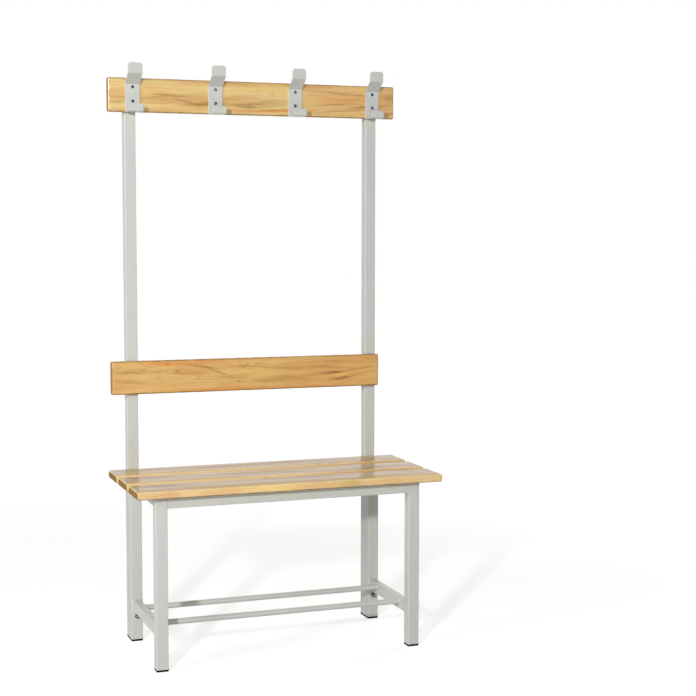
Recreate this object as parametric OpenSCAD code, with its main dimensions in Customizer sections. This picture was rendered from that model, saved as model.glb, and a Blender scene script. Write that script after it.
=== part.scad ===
// Changing room bench with a backrest board, a coat rack board and a shoe rack.
// Square steel tube frame, varnished pine slats and boards, bent steel double hooks.
// Millimetres. X runs along the bench, Y runs from the front to the back, Z is up.
// The origin is on the floor, under the middle of the whole object.

/* [Seat] */
// Length of the seat slats, along the bench
seat_length = 800; // [700:5:1200]
// Height of the seat's top face above the floor
seat_height = 456; // [400:1:520]
// Width of one seat slat, front to back
slat_width = 102; // [98:1:140]
// Thickness of a seat slat
slat_thickness = 20; // [15:0.5:26]
// Open gap between two slats
slat_gap = 24; // [4:0.5:35]
// Rounding of the slats' edges
slat_edge_radius = 4; // [1:0.5:5]
// How far the slats reach past the legs at each end
seat_overhang = 51; // [20:1:80]
// How far the front slat reaches past the front legs
front_overhang = 32; // [10:1:40]

/* [Steel frame] */
// Side of the square tube of the legs and uprights
tube_size = 30; // [28:1:36]
// Wall of the square tube
tube_wall = 1.5; // [1:0.1:2]
// Outer corner radius of every square and flat tube
tube_corner_radius = 2; // [1:0.25:3]
// Thickness of the flat tube of the rails and stretchers
rail_thickness = 20; // [16:1:24]
// Height of the flat tube of the rails and stretchers
rail_height = 30; // [25:1:36]
// Wall of the flat tube
rail_wall = 1.5; // [1:0.1:2]
// Height of the stretchers' underside above the floor
stretcher_height = 82; // [78:1:140]

/* [Shoe rack] */
// Diameter of the two round shoe bars
shoe_bar_diameter = 15; // [12:0.5:20]
// Wall of the shoe bars
shoe_bar_wall = 1.2; // [0.8:0.1:2]
// How far the tops of the bars lie under the tops of the stretchers
shoe_bar_drop = 1.5; // [0.5:0.5:4]
// Centre of the front bar behind the back face of the front legs
front_bar_setback = 47; // [20:1:70]
// Centre of the rear bar in front of the front face of the rear legs
rear_bar_setback = 55; // [20:1:70]

/* [Backrest and rack] */
// Height of the rack board's top edge above the floor
rack_top_height = 1474; // [1250:1:1800]
// Height of the rack board, edge to edge
rack_board_height = 88; // [84:1:120]
// Height of the backrest's lower edge above the floor
backrest_bottom_height = 654; // [560:1:760]
// Height of the backrest board, edge to edge
backrest_board_height = 88; // [70:1:140]
// Thickness of the rack board and the backrest board
board_thickness = 18; // [16:0.5:26]
// Rounding of the two boards' edges
board_edge_radius = 5; // [1:0.5:6]
// How far the rack board reaches past the uprights at each end
rack_overhang = 46; // [30:1:80]
// How far the backrest reaches past the left upright
backrest_overhang_left = 44; // [4:1:80]
// How far the backrest reaches past the right upright
backrest_overhang_right = 4; // [4:1:80]
// How far the uprights' ends lie under the rack board's top edge
upright_top_drop = 6; // [3:1:12]

/* [Coat hooks] */
// Width of the steel strip of a hook
hook_width = 38; // [30:1:50]
// Thickness of the steel strip
hook_thickness = 2.5; // [2:0.25:3]
// Inner radius of the strip's bends
hook_bend_radius = 3; // [2:0.5:5]
// Centre of an outer hook, inwards from the upright's outer face
outer_hook_inset = 19; // [15:1:40]
// Fold of the upper prong under the rack board's top edge
hook_fold_drop = 15.5; // [12:0.5:24]
// How far the upper prong's front face stands before the plate's front face
upper_prong_reach = 35; // [28:1:45]
// Rise of the sloping part of the upper prong
upper_prong_rise = 26.25; // [20:0.25:35]
// Height of the upright tip of the upper prong
upper_tip_height = 24.75; // [18:0.25:35]
// How far the lower prong's front face stands before the plate's front face
lower_prong_reach = 40; // [30:1:50]
// Height of the lower prong's tip above the hook's lowest face
lower_tip_height = 20; // [16:1:26]
// Lowest face of the hook under the rack board's lower edge
hook_bottom_drop = 1; // [0:0.5:4]
// Radius of the corners of the upper tip
upper_tip_radius = 8; // [4:1:12]
// Radius of the corners of the lower tip
lower_tip_radius = 6; // [3:1:10]

/* [Plastic inserts] */
// Visible height of the plastic feet under the legs and uprights
foot_height = 5; // [4:0.5:10]
// Visible height of the plugs in the uprights' top ends
cap_height = 3; // [2:0.5:6]
// Depth of an insert's stem inside its tube
insert_stem_length = 14; // [10:1:14]
// Wall of an insert's hollow stem
insert_stem_wall = 2; // [1.5:0.1:3]
// Free space between an insert's stem and the tube, each side
insert_clearance = 0.2; // [0.1:0.05:0.4]

/* [Fasteners] */
// Shank diameter of the hook screws
hook_screw_diameter = 4; // [3:0.5:5]
// Head diameter of the hook screws
hook_screw_head_diameter = 8.5; // [7:0.5:10]
// Height of the domed head of the hook screws
hook_screw_head_height = 2.8; // [2:0.1:3.5]
// How deep the hook screws go into the rack board
hook_screw_depth = 13; // [10:0.5:14]
// Free space between the upper hook screw's head and the start of the fold
hook_screw_gap = 1; // [0.1:0.1:3]
// Distance between the two screws of a hook
hook_screw_spacing = 36; // [30:1:40]
// Shank diameter of the wood screws through the tubes
wood_screw_diameter = 4.5; // [3.5:0.5:5.5]
// Head diameter of the wood screws
wood_screw_head_diameter = 9; // [7:0.5:11]
// Height of the domed head of the wood screws
wood_screw_head_height = 3; // [2:0.1:4]
// How deep the wood screws go into the slats and boards
wood_screw_depth = 12; // [8:0.5:14]
// Distance between the two screws that hold a board to an upright
board_screw_spacing = 36; // [30:1:40]
// Lower screw of the rack board above its lower edge
rack_screw_rise = 14; // [12:0.5:16]
// Distance of a slat's screws from the ends of its stretch on a side rail, as a share of it
slat_screw_share = 0.25; // [0.2:0.01:0.3]
// Diameter of the frame bolts
bolt_diameter = 6; // [5:1:8]
// Width across the flats of the bolt heads and nuts
bolt_across_flats = 10; // [10:0.5:13]
// Height of the bolt heads
bolt_head_height = 4; // [3:0.5:5]
// Height of the nuts on the frame bolts
nut_height = 5; // [4:0.5:6]
// Outer diameter of the washers
washer_diameter = 12; // [12:0.5:16]
// Thickness of the washers
washer_thickness = 1.2; // [0.8:0.1:1.6]
// Centre of the lower frame bolts above the floor
lower_bolt_height = 67; // [40:1:68]
// Free space round every screw and bolt in its hole, on the radius
hole_clearance = 0.25; // [0.1:0.05:0.5]

/* [Hidden] */
$fn = 48;

paint = [0.77, 0.79, 0.76];
pine = [0.89, 0.74, 0.51];
black_plastic = [0.06, 0.06, 0.06];
zinc = [0.72, 0.73, 0.75];
cut_past = 1;

slat_count = 3;
hook_count = 4;
sides = [-1, 1];

seat_depth = slat_count * slat_width + (slat_count - 1) * slat_gap;
rear_stickout = washer_thickness + bolt_head_height;
object_depth = seat_depth + tube_size + rear_stickout;
seat_front = -object_depth / 2;
seat_back = seat_front + seat_depth;

leg_outer_x = seat_length / 2 - seat_overhang;
leg_x = leg_outer_x - tube_size / 2;
front_leg_y = seat_front + front_overhang + tube_size / 2;
rear_leg_y = seat_back - tube_size / 2;
upright_y = seat_back + tube_size / 2;
leg_top = seat_height - slat_thickness;
upright_top = rack_top_height - upright_top_drop;

rail_start = front_leg_y + tube_size / 2;
rail_end = rear_leg_y - tube_size / 2;
rail_z = leg_top - rail_height / 2;
stretcher_z = stretcher_height + rail_height / 2;
bar_z = stretcher_height + rail_height - shoe_bar_drop - shoe_bar_diameter / 2;
bar_length = 2 * leg_x - rail_thickness;

board_front = seat_back - board_thickness;
rack_bottom = rack_top_height - rack_board_height;
rack_screw_low = rack_bottom + rack_screw_rise;
backrest_screw_low = backrest_bottom_height + (backrest_board_height - board_screw_spacing) / 2;

plate_front = board_front - hook_thickness;
hook_fold = rack_top_height - hook_fold_drop;
hook_bottom = rack_bottom - hook_bottom_drop;
outer_hook_x = leg_outer_x - outer_hook_inset;
hook_pitch = 2 * outer_hook_x / (hook_count - 1);
upper_bolt_height = rail_z;

// Turn of the two bends of a hook's upper prong, between upright and slope
fold_turn = 90 - atan2(upper_prong_rise, upper_prong_reach);
// How far a bend starts before its sharp corner, for each millimetre of its radius
fold_share = tan(fold_turn / 2);
outer_radius = hook_bend_radius + hook_thickness;
fold_start = hook_fold - fold_share * outer_radius;
hook_screw_high = fold_start - hook_screw_gap - hook_screw_head_diameter / 2;
hook_screw_heights = [hook_screw_high - hook_screw_spacing, hook_screw_high];

bolt_hole = bolt_diameter + 2 * hole_clearance;
wood_screw_hole = wood_screw_diameter + 2 * hole_clearance;
hook_screw_hole = hook_screw_diameter + 2 * hole_clearance;
// Distances from the seat of a bolt's head to the faces that it passes
through_upright = tube_size + washer_thickness;
through_both = 2 * tube_size + 2 * washer_thickness;

module rounded_rectangle(width, depth, radius) {
    square([width - 2 * radius, depth], center = true);
    square([width, depth - 2 * radius], center = true);
    for (x = sides, y = sides)
        translate([x * (width / 2 - radius), y * (depth / 2 - radius)]) circle(r = radius);
}

// Upright tube of a rectangular section, from z = 0 up
module tube(width, depth, wall, length) {
    difference() {
        linear_extrude(height = length) rounded_rectangle(width, depth, tube_corner_radius);
        translate([0, 0, -cut_past])
            linear_extrude(height = length + 2 * cut_past)
                square([width - 2 * wall, depth - 2 * wall], center = true);
    }
}

// Cylinder along Y that starts at y and runs towards the back
module along_y(x, y, z, diameter, length) {
    translate([x, y, z]) rotate([-90, 0, 0]) cylinder(d = diameter, h = length);
}

// Screw with a domed head: the head's seat is at z = 0 and the shank runs down
module domed_screw(shank, length, head, head_height) {
    dome_radius = (head * head / 4 + head_height * head_height) / (2 * head_height);
    rotate_extrude() intersection() {
        union() {
            translate([0, -length]) square([shank / 2, length + head_height / 2]);
            intersection() {
                translate([0, head_height - dome_radius]) circle(r = dome_radius);
                square([head, head_height]);
            }
        }
        translate([0, -length]) square([head, length + head_height]);
    }
}

// Board with all its edges rounded, centred on x and y, from z = 0 up
module rounded_board(length, depth, height, radius) {
    intersection() {
        translate([-length / 2, 0, height / 2])
            rotate([90, 0, 90]) linear_extrude(height = length)
                rounded_rectangle(depth, height, radius);
        linear_extrude(height = height) rounded_rectangle(length, depth, radius);
    }
}

function slat_start(i) = seat_front + i * (slat_width + slat_gap);
// The stretch of slat number i that rests on a side rail, and its two screws there
function rest_start(i) = max(slat_start(i), rail_start);
function rest_end(i) = min(slat_start(i) + slat_width, rail_end);
function slat_screw_y(i) = [
    for (share = [slat_screw_share, 1 - slat_screw_share])
        rest_start(i) + share * (rest_end(i) - rest_start(i))
];

module seat_slat(i) {
    color(pine) difference() {
        translate([0, slat_start(i) + slat_width / 2, leg_top])
            rounded_board(seat_length, slat_width, slat_thickness, slat_edge_radius);
        for (side = sides, y = slat_screw_y(i))
            translate([side * leg_x, y, leg_top - cut_past])
                cylinder(d = wood_screw_hole, h = wood_screw_depth + hole_clearance + cut_past);
    }
}

// Pilot holes in the back of a board, for the screws through the uprights
module board_pilot_holes(low) {
    for (side = sides, z = [low, low + board_screw_spacing])
        along_y(side * leg_x, seat_back - wood_screw_depth - hole_clearance, z,
                wood_screw_hole, wood_screw_depth + hole_clearance + cut_past);
}

module backrest_board() {
    length = 2 * leg_outer_x + backrest_overhang_left + backrest_overhang_right;
    middle = (backrest_overhang_right - backrest_overhang_left) / 2;
    color(pine) difference() {
        translate([middle, board_front + board_thickness / 2, backrest_bottom_height])
            rounded_board(length, board_thickness, backrest_board_height, board_edge_radius);
        board_pilot_holes(backrest_screw_low);
    }
}

function hook_x(i) = -outer_hook_x + i * hook_pitch;

module rack_board() {
    length = 2 * (leg_outer_x + rack_overhang);
    color(pine) difference() {
        translate([0, board_front + board_thickness / 2, rack_bottom])
            rounded_board(length, board_thickness, rack_board_height, board_edge_radius);
        board_pilot_holes(rack_screw_low);
        for (i = [0 : hook_count - 1], z = hook_screw_heights)
            along_y(hook_x(i), board_front - cut_past, z,
                    hook_screw_hole, hook_screw_depth + hole_clearance + cut_past);
    }
}

module front_leg(side) {
    color(paint) translate([side * leg_x, front_leg_y, foot_height])
        tube(tube_size, tube_size, tube_wall, leg_top - foot_height);
}

// Square leg with a hole right through for the lower bolt and one in its
// back wall for the upper bolt
module rear_leg(side) {
    color(paint) difference() {
        translate([side * leg_x, rear_leg_y, foot_height])
            tube(tube_size, tube_size, tube_wall, leg_top - foot_height);
        along_y(side * leg_x, rail_end - cut_past, lower_bolt_height,
                bolt_hole, tube_size + 2 * cut_past);
        along_y(side * leg_x, rear_leg_y, upper_bolt_height, bolt_hole, tube_size);
    }
}

module upright(side) {
    color(paint) difference() {
        translate([side * leg_x, upright_y, foot_height])
            tube(tube_size, tube_size, tube_wall, upright_top - cap_height - foot_height);
        for (z = [lower_bolt_height, upper_bolt_height])
            along_y(side * leg_x, seat_back - cut_past, z, bolt_hole, tube_size + 2 * cut_past);
        for (low = [rack_screw_low, backrest_screw_low], z = [low, low + board_screw_spacing])
            along_y(side * leg_x, seat_back - cut_past, z,
                    wood_screw_hole, tube_size + 2 * cut_past);
    }
}

// Rail along the bench between two legs, with its middle at depth y
module long_rail(y) {
    color(paint) translate([-leg_x + tube_size / 2, y, rail_z])
        rotate([90, 0, 90])
            tube(rail_thickness, rail_height, rail_wall, 2 * leg_x - tube_size);
}

// Flat tube from a front leg to a rear leg
module cross_tube(side, z) {
    translate([side * leg_x, rail_end, z]) rotate([90, 0, 0])
        tube(rail_thickness, rail_height, rail_wall, rail_end - rail_start);
}

module side_rail(side) {
    color(paint) difference() {
        cross_tube(side, rail_z);
        for (i = [0 : slat_count - 1], y = slat_screw_y(i))
            translate([side * leg_x, y, leg_top - rail_height - cut_past])
                cylinder(d = wood_screw_hole, h = rail_height + 2 * cut_past);
    }
}

module stretcher(side) {
    color(paint) cross_tube(side, stretcher_z);
}

module shoe_bar(y) {
    color(paint) translate([-bar_length / 2, y, bar_z]) rotate([0, 90, 0]) difference() {
        cylinder(d = shoe_bar_diameter, h = bar_length);
        translate([0, 0, -cut_past])
            cylinder(d = shoe_bar_diameter - 2 * shoe_bar_wall, h = bar_length + 2 * cut_past);
    }
}

// What a corner holds outside its rounding, between the directions a and b from
// the rounding's centre
module corner(centre, radius, a, b) {
    far = 2 * outer_radius;
    translate(centre) difference() {
        polygon([[0, 0], far * [cos(a), sin(a)],
                 far * [cos((a + b) / 2), sin((a + b) / 2)], far * [cos(b), sin(b)]]);
        circle(r = radius);
    }
}

// A hook's section is drawn with x forwards from the back of the plate and y up.
// This is all that lies under a face of the upper prong. The face runs up to the
// fold at the origin, then up the slope, then straight up to past the tip's end.
module under_prong(fold_radius, tip_radius) {
    foot = hook_bottom + outer_radius - hook_fold;
    top = upper_prong_rise + upper_tip_height + outer_radius;
    far = upper_prong_reach + 2 * outer_radius;
    difference() {
        union() {
            polygon([[0, foot], [0, 0], [upper_prong_reach, upper_prong_rise],
                     [upper_prong_reach, top], [far, top], [far, foot]]);
            corner([upper_prong_reach - tip_radius, upper_prong_rise + fold_share * tip_radius],
                   tip_radius, -fold_turn, 0);
        }
        corner([fold_radius, -fold_share * fold_radius], fold_radius, 180 - fold_turn, 180);
    }
}

// The plate with the sloping prong and its upright tip
module upper_section() {
    translate([0, hook_fold]) difference() {
        under_prong(outer_radius, hook_bend_radius);
        translate(hook_thickness * [1, -fold_share])
            under_prong(hook_bend_radius, outer_radius);
    }
}

// Rectangle with its two lower corners rounded
module trough(width, height, radius) {
    translate([0, radius]) square([width, height - radius]);
    translate([radius, 0]) square([width - 2 * radius, height]);
    for (x = [radius, width - radius]) translate([x, radius]) circle(r = radius);
}

// Lower prong: forwards from the plate's foot and up again
module lower_section() {
    width = hook_thickness + lower_prong_reach;
    translate([0, hook_bottom]) difference() {
        trough(width, lower_tip_height, outer_radius);
        translate([hook_thickness, hook_thickness])
            trough(width - 2 * hook_thickness, lower_tip_height, hook_bend_radius);
    }
}

// Turns a section into a strip of the hook's width, centred on x
module hook_strip() {
    translate([-hook_width / 2, board_front, 0]) rotate([90, 0, 90])
        linear_extrude(height = hook_width) mirror([1, 0]) children();
}

// Block that keeps what lies under z = top and rounds the two top corners
module rounded_top(top, radius, height) {
    depth = 2 * (lower_prong_reach + upper_prong_reach);
    translate([0, board_front + depth / 2, top - height]) rotate([90, 0, 0])
        linear_extrude(height = depth) {
            translate([-hook_width / 2, 0]) square([hook_width, height - radius]);
            translate([-hook_width / 2 + radius, 0]) square([hook_width - 2 * radius, height]);
            for (side = sides)
                translate([side * (hook_width / 2 - radius), height - radius]) circle(r = radius);
        }
}

module coat_hook(i) {
    upper_top = hook_fold + upper_prong_rise + upper_tip_height;
    color(paint) translate([hook_x(i), 0, 0]) difference() {
        union() {
            intersection() {
                hook_strip() upper_section();
                rounded_top(upper_top, upper_tip_radius, upper_top - hook_bottom + cut_past);
            }
            intersection() {
                hook_strip() lower_section();
                rounded_top(hook_bottom + lower_tip_height, lower_tip_radius,
                            lower_tip_height + cut_past);
            }
        }
        for (z = hook_screw_heights)
            along_y(0, plate_front - cut_past, z, hook_screw_hole, hook_thickness + 2 * cut_past);
    }
}

// Plastic insert: a visible plate from z = 0 up and a hollow stem above it
module tube_insert(plate_height) {
    stem = tube_size - 2 * tube_wall - 2 * insert_clearance;
    color(black_plastic) {
        difference() {
            union() {
                linear_extrude(height = plate_height)
                    rounded_rectangle(tube_size, tube_size, tube_corner_radius);
                translate([-stem / 2, -stem / 2, plate_height / 2])
                    cube([stem, stem, plate_height / 2 + insert_stem_length]);
            }
            hollow = stem - 2 * insert_stem_wall;
            translate([-hollow / 2, -hollow / 2, plate_height])
                cube([hollow, hollow, insert_stem_length + cut_past]);
        }
    }
}

module foot(side, y) {
    translate([side * leg_x, y, 0]) tube_insert(foot_height);
}

module upright_cap(side) {
    translate([side * leg_x, upright_y, upright_top]) mirror([0, 0, 1]) tube_insert(cap_height);
}

module hook_screws() {
    color(zinc) for (i = [0 : hook_count - 1], z = hook_screw_heights)
        translate([hook_x(i), plate_front, z]) rotate([90, 0, 0])
            domed_screw(hook_screw_diameter, hook_thickness + hook_screw_depth,
                        hook_screw_head_diameter, hook_screw_head_height);
}

module slat_screws() {
    color(zinc) for (side = sides, i = [0 : slat_count - 1], y = slat_screw_y(i))
        translate([side * leg_x, y, leg_top - rail_height]) rotate([180, 0, 0])
            domed_screw(wood_screw_diameter, rail_height + wood_screw_depth,
                        wood_screw_head_diameter, wood_screw_head_height);
}

// Screws from the back of the uprights into a board
module board_screws(low) {
    color(zinc) for (side = sides, z = [low, low + board_screw_spacing])
        translate([side * leg_x, seat_back + tube_size, z]) rotate([-90, 0, 0])
            domed_screw(wood_screw_diameter, tube_size + wood_screw_depth,
                        wood_screw_head_diameter, wood_screw_head_height);
}

// Hexagonal bolt from the back of an upright, with its shank forwards
module hex_bolt(side, z, length) {
    head_seat = seat_back + tube_size + washer_thickness;
    translate([side * leg_x, head_seat, z]) rotate([-90, 0, 0]) {
        rotate(30) cylinder(d = bolt_across_flats / cos(30), h = bolt_head_height, $fn = 6);
        translate([0, 0, -length]) cylinder(d = bolt_diameter, h = length + bolt_head_height / 2);
    }
}

module lower_bolts() {
    color(zinc) for (side = sides) hex_bolt(side, lower_bolt_height, through_both + nut_height);
}

module upper_bolts() {
    color(zinc) for (side = sides)
        hex_bolt(side, upper_bolt_height,
                 through_upright + tube_wall + nut_height + bolt_diameter / 2);
}

module washer(side, y, z) {
    difference() {
        along_y(side * leg_x, y, z, washer_diameter, washer_thickness);
        along_y(side * leg_x, y - cut_past, z, bolt_hole, washer_thickness + 2 * cut_past);
    }
}

module bolt_washers() {
    color(zinc) for (side = sides) {
        washer(side, seat_back + tube_size, lower_bolt_height);
        washer(side, seat_back + tube_size, upper_bolt_height);
        washer(side, rail_end - washer_thickness, lower_bolt_height);
    }
}

// Closed nut with a domed end, on the front of the rear legs
module dome_nuts() {
    dome_radius = bolt_across_flats / 2;
    color(zinc) for (side = sides)
        translate([side * leg_x, rail_end - washer_thickness, lower_bolt_height])
            rotate([90, 0, 0]) difference() {
                union() {
                    rotate(30) cylinder(d = bolt_across_flats / cos(30), h = nut_height, $fn = 6);
                    intersection() {
                        translate([0, 0, nut_height]) sphere(r = dome_radius);
                        cylinder(r = dome_radius, h = nut_height + dome_radius);
                    }
                }
                translate([0, 0, -cut_past]) cylinder(d = bolt_hole, h = nut_height + cut_past);
            }
}

// Plain nut welded inside each rear leg, on its back wall
module weld_nuts() {
    color(zinc) for (side = sides)
        translate([side * leg_x, seat_back - tube_wall, upper_bolt_height]) rotate([90, 0, 0])
            difference() {
                rotate(30) cylinder(d = bolt_across_flats / cos(30), h = nut_height, $fn = 6);
                translate([0, 0, -cut_past]) cylinder(d = bolt_hole, h = nut_height + 2 * cut_past);
            }
}

seat_slat(0);  // seat_slat_front
seat_slat(1);  // seat_slat_middle
seat_slat(2);  // seat_slat_rear
backrest_board();
rack_board();
front_leg(-1);  // front_leg_left
front_leg(1);  // front_leg_right
rear_leg(-1);  // rear_leg_left
rear_leg(1);  // rear_leg_right
upright(-1);  // upright_left
upright(1);  // upright_right
long_rail(rail_start - tube_size + rail_thickness / 2);  // front_rail
long_rail(seat_back - rail_thickness / 2);  // rear_rail
side_rail(-1);  // side_rail_left
side_rail(1);  // side_rail_right
stretcher(-1);  // stretcher_left
stretcher(1);  // stretcher_right
shoe_bar(rail_start + front_bar_setback);  // shoe_bar_front
shoe_bar(rail_end - rear_bar_setback);  // shoe_bar_rear
coat_hook(0);  // coat_hook_1
coat_hook(1);  // coat_hook_2
coat_hook(2);  // coat_hook_3
coat_hook(3);  // coat_hook_4
foot(-1, front_leg_y);  // foot_front_left
foot(1, front_leg_y);  // foot_front_right
foot(-1, rear_leg_y);  // foot_rear_left
foot(1, rear_leg_y);  // foot_rear_right
foot(-1, upright_y);  // foot_upright_left
foot(1, upright_y);  // foot_upright_right
upright_cap(-1);  // upright_cap_left
upright_cap(1);  // upright_cap_right
hook_screws();
slat_screws();
board_screws(backrest_screw_low);  // backrest_screws
board_screws(rack_screw_low);  // rack_screws
lower_bolts();
upper_bolts();
bolt_washers();
dome_nuts();
weld_nuts();
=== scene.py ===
"""Changing room bench with a backrest board, a coat rack board and a shoe rack.

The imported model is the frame, in metres: X runs along the bench, Y from the front to
the back, Z up. Each sub-assembly is a class that builds its meshes and dresses them.
"""

from __future__ import annotations

import logging
import math
from dataclasses import dataclass, replace
from enum import Enum
from typing import Any, Callable, Sequence

import bmesh
import bpy
from mathutils import Matrix, Vector

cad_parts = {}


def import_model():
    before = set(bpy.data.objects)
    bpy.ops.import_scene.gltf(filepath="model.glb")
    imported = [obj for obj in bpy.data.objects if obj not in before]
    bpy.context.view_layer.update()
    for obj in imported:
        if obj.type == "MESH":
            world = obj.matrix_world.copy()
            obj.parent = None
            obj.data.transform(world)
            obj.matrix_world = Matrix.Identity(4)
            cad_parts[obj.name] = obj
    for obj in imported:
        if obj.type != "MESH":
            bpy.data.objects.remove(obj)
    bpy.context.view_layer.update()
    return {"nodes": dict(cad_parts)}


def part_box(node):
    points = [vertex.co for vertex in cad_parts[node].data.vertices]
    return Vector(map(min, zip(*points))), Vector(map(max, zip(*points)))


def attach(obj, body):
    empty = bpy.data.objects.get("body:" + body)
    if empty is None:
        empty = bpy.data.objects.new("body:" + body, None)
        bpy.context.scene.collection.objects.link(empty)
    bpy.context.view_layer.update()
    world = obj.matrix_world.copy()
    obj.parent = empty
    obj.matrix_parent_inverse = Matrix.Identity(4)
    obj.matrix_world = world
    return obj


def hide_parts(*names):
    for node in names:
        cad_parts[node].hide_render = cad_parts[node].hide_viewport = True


LOG = logging.getLogger("bench")

Colour = tuple[float, float, float]
Place = tuple[float, float, float]
Outline = list[tuple[float, float]]
Sketch = tuple[list[Vector], list[list[int]]]
Socket = bpy.types.NodeSocket
Sockets = dict[str, Socket]

MM = 0.001
BODY = "root"
SHARP_ANGLE = math.radians(38)
ORIGIN = (0.0, 0.0, 0.0)
WHITE = (1.0, 1.0, 1.0)
AXES = (Vector((1, 0, 0)), Vector((0, 1, 0)), Vector((0, 0, 1)))
FRONT, BACK, DOWN = Vector((0, -1, 0)), Vector((0, 1, 0)), Vector((0, 0, -1))
SIDES = ("left", "right")


class Slot(Enum):
    """Material slots of the record."""

    STEEL = "painted_steel"
    PINE = "varnished_pine"
    PLASTIC = "black_plastic"
    ZINC = "zinc_steel"


class Lie(Enum):
    """How a board lies: the order of its length, width and thickness axes."""

    UPRIGHT = (0, 2, 1)
    FLAT = (0, 1, 2)


class Tint(Enum):
    """Colour of a streak in the wood."""

    BROWN = "brown"
    ORANGE = "orange"
    GOLD = "gold"
    OLIVE = "olive"
    DARK = "dark"
    PALE = "pale"


def srgb(red: int, green: int, blue: int) -> Colour:
    """Turn a colour in 0 to 255 steps into linear light.

    Args:
        red: Red step.
        green: Green step.
        blue: Blue step.

    Returns:
        The linear colour, 0 to 1.
    """

    def linear(step: int) -> float:
        """Linear value of one step."""
        share = step / 255
        return share / 12.92 if share <= 0.04045 else ((share + 0.055) / 1.055) ** 2.4

    return linear(red), linear(green), linear(blue)


# Node trees


def emptied(owner: bpy.types.Material | bpy.types.World) -> bpy.types.NodeTree:
    """Empty the node tree of a material or a world.

    Args:
        owner: The material or world.

    Returns:
        Its tree, without a node.
    """
    owner.use_nodes = True
    owner.node_tree.nodes.clear()
    return owner.node_tree


class Sheet:
    """Adds nodes to a node tree and links their sockets in plain calls."""

    def __init__(self, tree: bpy.types.NodeTree) -> None:
        """Take the tree that the nodes go into."""
        self.tree = tree

    def feed(self, socket: Socket, value: Any) -> None:
        """Link a socket to another one, or set its value.

        Args:
            socket: Input socket.
            value: Output socket, or a number, colour or vector.
        """
        if isinstance(value, Socket):
            self.tree.links.new(value, socket)
        elif socket.type == "RGBA" and len(value) == 3:
            socket.default_value = (*value, 1.0)
        else:
            socket.default_value = value

    def node(self, kind: str, inputs: dict | None = None, **settings: Any) -> bpy.types.Node:
        """Add one node.

        Args:
            kind: Blender's type name of the node.
            inputs: What goes into its sockets, by name or number.
            settings: Properties of the node itself.

        Returns:
            The new node.
        """
        made = self.tree.nodes.new(kind)
        for key, value in settings.items():
            setattr(made, key, value)
        for key, value in (inputs or {}).items():
            self.feed(made.inputs[key], value)
        return made

    def maths(self, operation: str, *values: Any, clamp: bool = False) -> Socket:
        """Work out one number; clamp keeps it between 0 and 1."""
        inputs = dict(enumerate(values))
        return self.node("ShaderNodeMath", inputs, operation=operation, use_clamp=clamp).outputs[0]

    def vector(self, operation: str, *values: Any) -> Socket:
        """Work out one vector, or the number that the operation gives."""
        made = self.node("ShaderNodeVectorMath", dict(enumerate(values)), operation=operation)
        return made.outputs["Value" if operation in ("LENGTH", "DOT_PRODUCT") else "Vector"]

    def mix(self, share: Any, first: Any, second: Any, blend: str = "MIX") -> Socket:
        """Mix two colours, with the given share of the second."""
        inputs = {0: share, 6: first, 7: second}
        return self.node("ShaderNodeMix", inputs, data_type="RGBA", blend_type=blend).outputs[2]

    def grey(self, value: Socket) -> Socket:
        """Make a grey colour of one number."""
        return self.node("ShaderNodeCombineColor", {0: value, 1: value, 2: value}).outputs[0]

    def noise(self, place: Any, stretch: tuple[float, float, float], detail: float = 2.0,
              rough: float = 0.5) -> Socket:
        """Smooth noise, 0 to 1.

        Args:
            place: Where it is read, in metres.
            stretch: Waves per metre along each axis.
            detail: Number of finer octaves.
            rough: Strength of the finer octaves.

        Returns:
            The noise value's socket.
        """
        scaled = self.vector("MULTIPLY", place, stretch)
        inputs = {"Vector": scaled, "Scale": 1.0, "Detail": detail, "Roughness": rough}
        return self.node("ShaderNodeTexNoise", inputs).outputs[0]

    def smooth(self, value: Any, low: float, high: float) -> Socket:
        """Smooth step of a value, from 0 at the low to 1 at the high end."""
        inputs = {"Value": value, "From Min": low, "From Max": high}
        return self.node("ShaderNodeMapRange", inputs, interpolation_type="SMOOTHSTEP").outputs[0]

    def bell(self, value: Any, width: Any) -> Socket:
        """Bell curve of a distance.

        Args:
            value: The distance.
            width: The distance at which the bell has fallen to a third.

        Returns:
            A socket that is 1 at no distance and falls to 0.
        """
        share = self.maths("DIVIDE", value, width)
        square = self.maths("MULTIPLY", share, share)
        return self.maths("EXPONENT", self.maths("MULTIPLY", square, -1.0))


def shared_group(name: str, inputs: dict[str, Any], outputs: dict[str, str],
                 fill: Callable[[Sheet, Sockets], Sockets]) -> bpy.types.NodeTree:
    """Build a shader node group once, or give the one that is there.

    Args:
        name: Name of the group.
        inputs: Name and first value of each input; a tuple makes a vector or, with four
            values, a colour.
        outputs: Name and socket type of each output.
        fill: Fills the group from its input sockets and gives its output sockets.

    Returns:
        The group's tree.
    """
    if name in bpy.data.node_groups:
        return bpy.data.node_groups[name]
    tree = bpy.data.node_groups.new(name, "ShaderNodeTree")
    for key, value in inputs.items():
        kind = "NodeSocketFloat"
        if isinstance(value, tuple):
            kind = "NodeSocketColor" if len(value) == 4 else "NodeSocketVector"
        socket = tree.interface.new_socket(name=key, in_out="INPUT", socket_type=kind)
        socket.default_value = value
    for key, kind in outputs.items():
        tree.interface.new_socket(name=key, in_out="OUTPUT", socket_type=kind)
    sheet = Sheet(tree)
    entry = sheet.node("NodeGroupInput")
    result = fill(sheet, {key: entry.outputs[key] for key in inputs})
    sheet.node("NodeGroupOutput", result)
    return tree


NUMBER = "NodeSocketFloat"
COLOUR = "NodeSocketColor"


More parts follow.
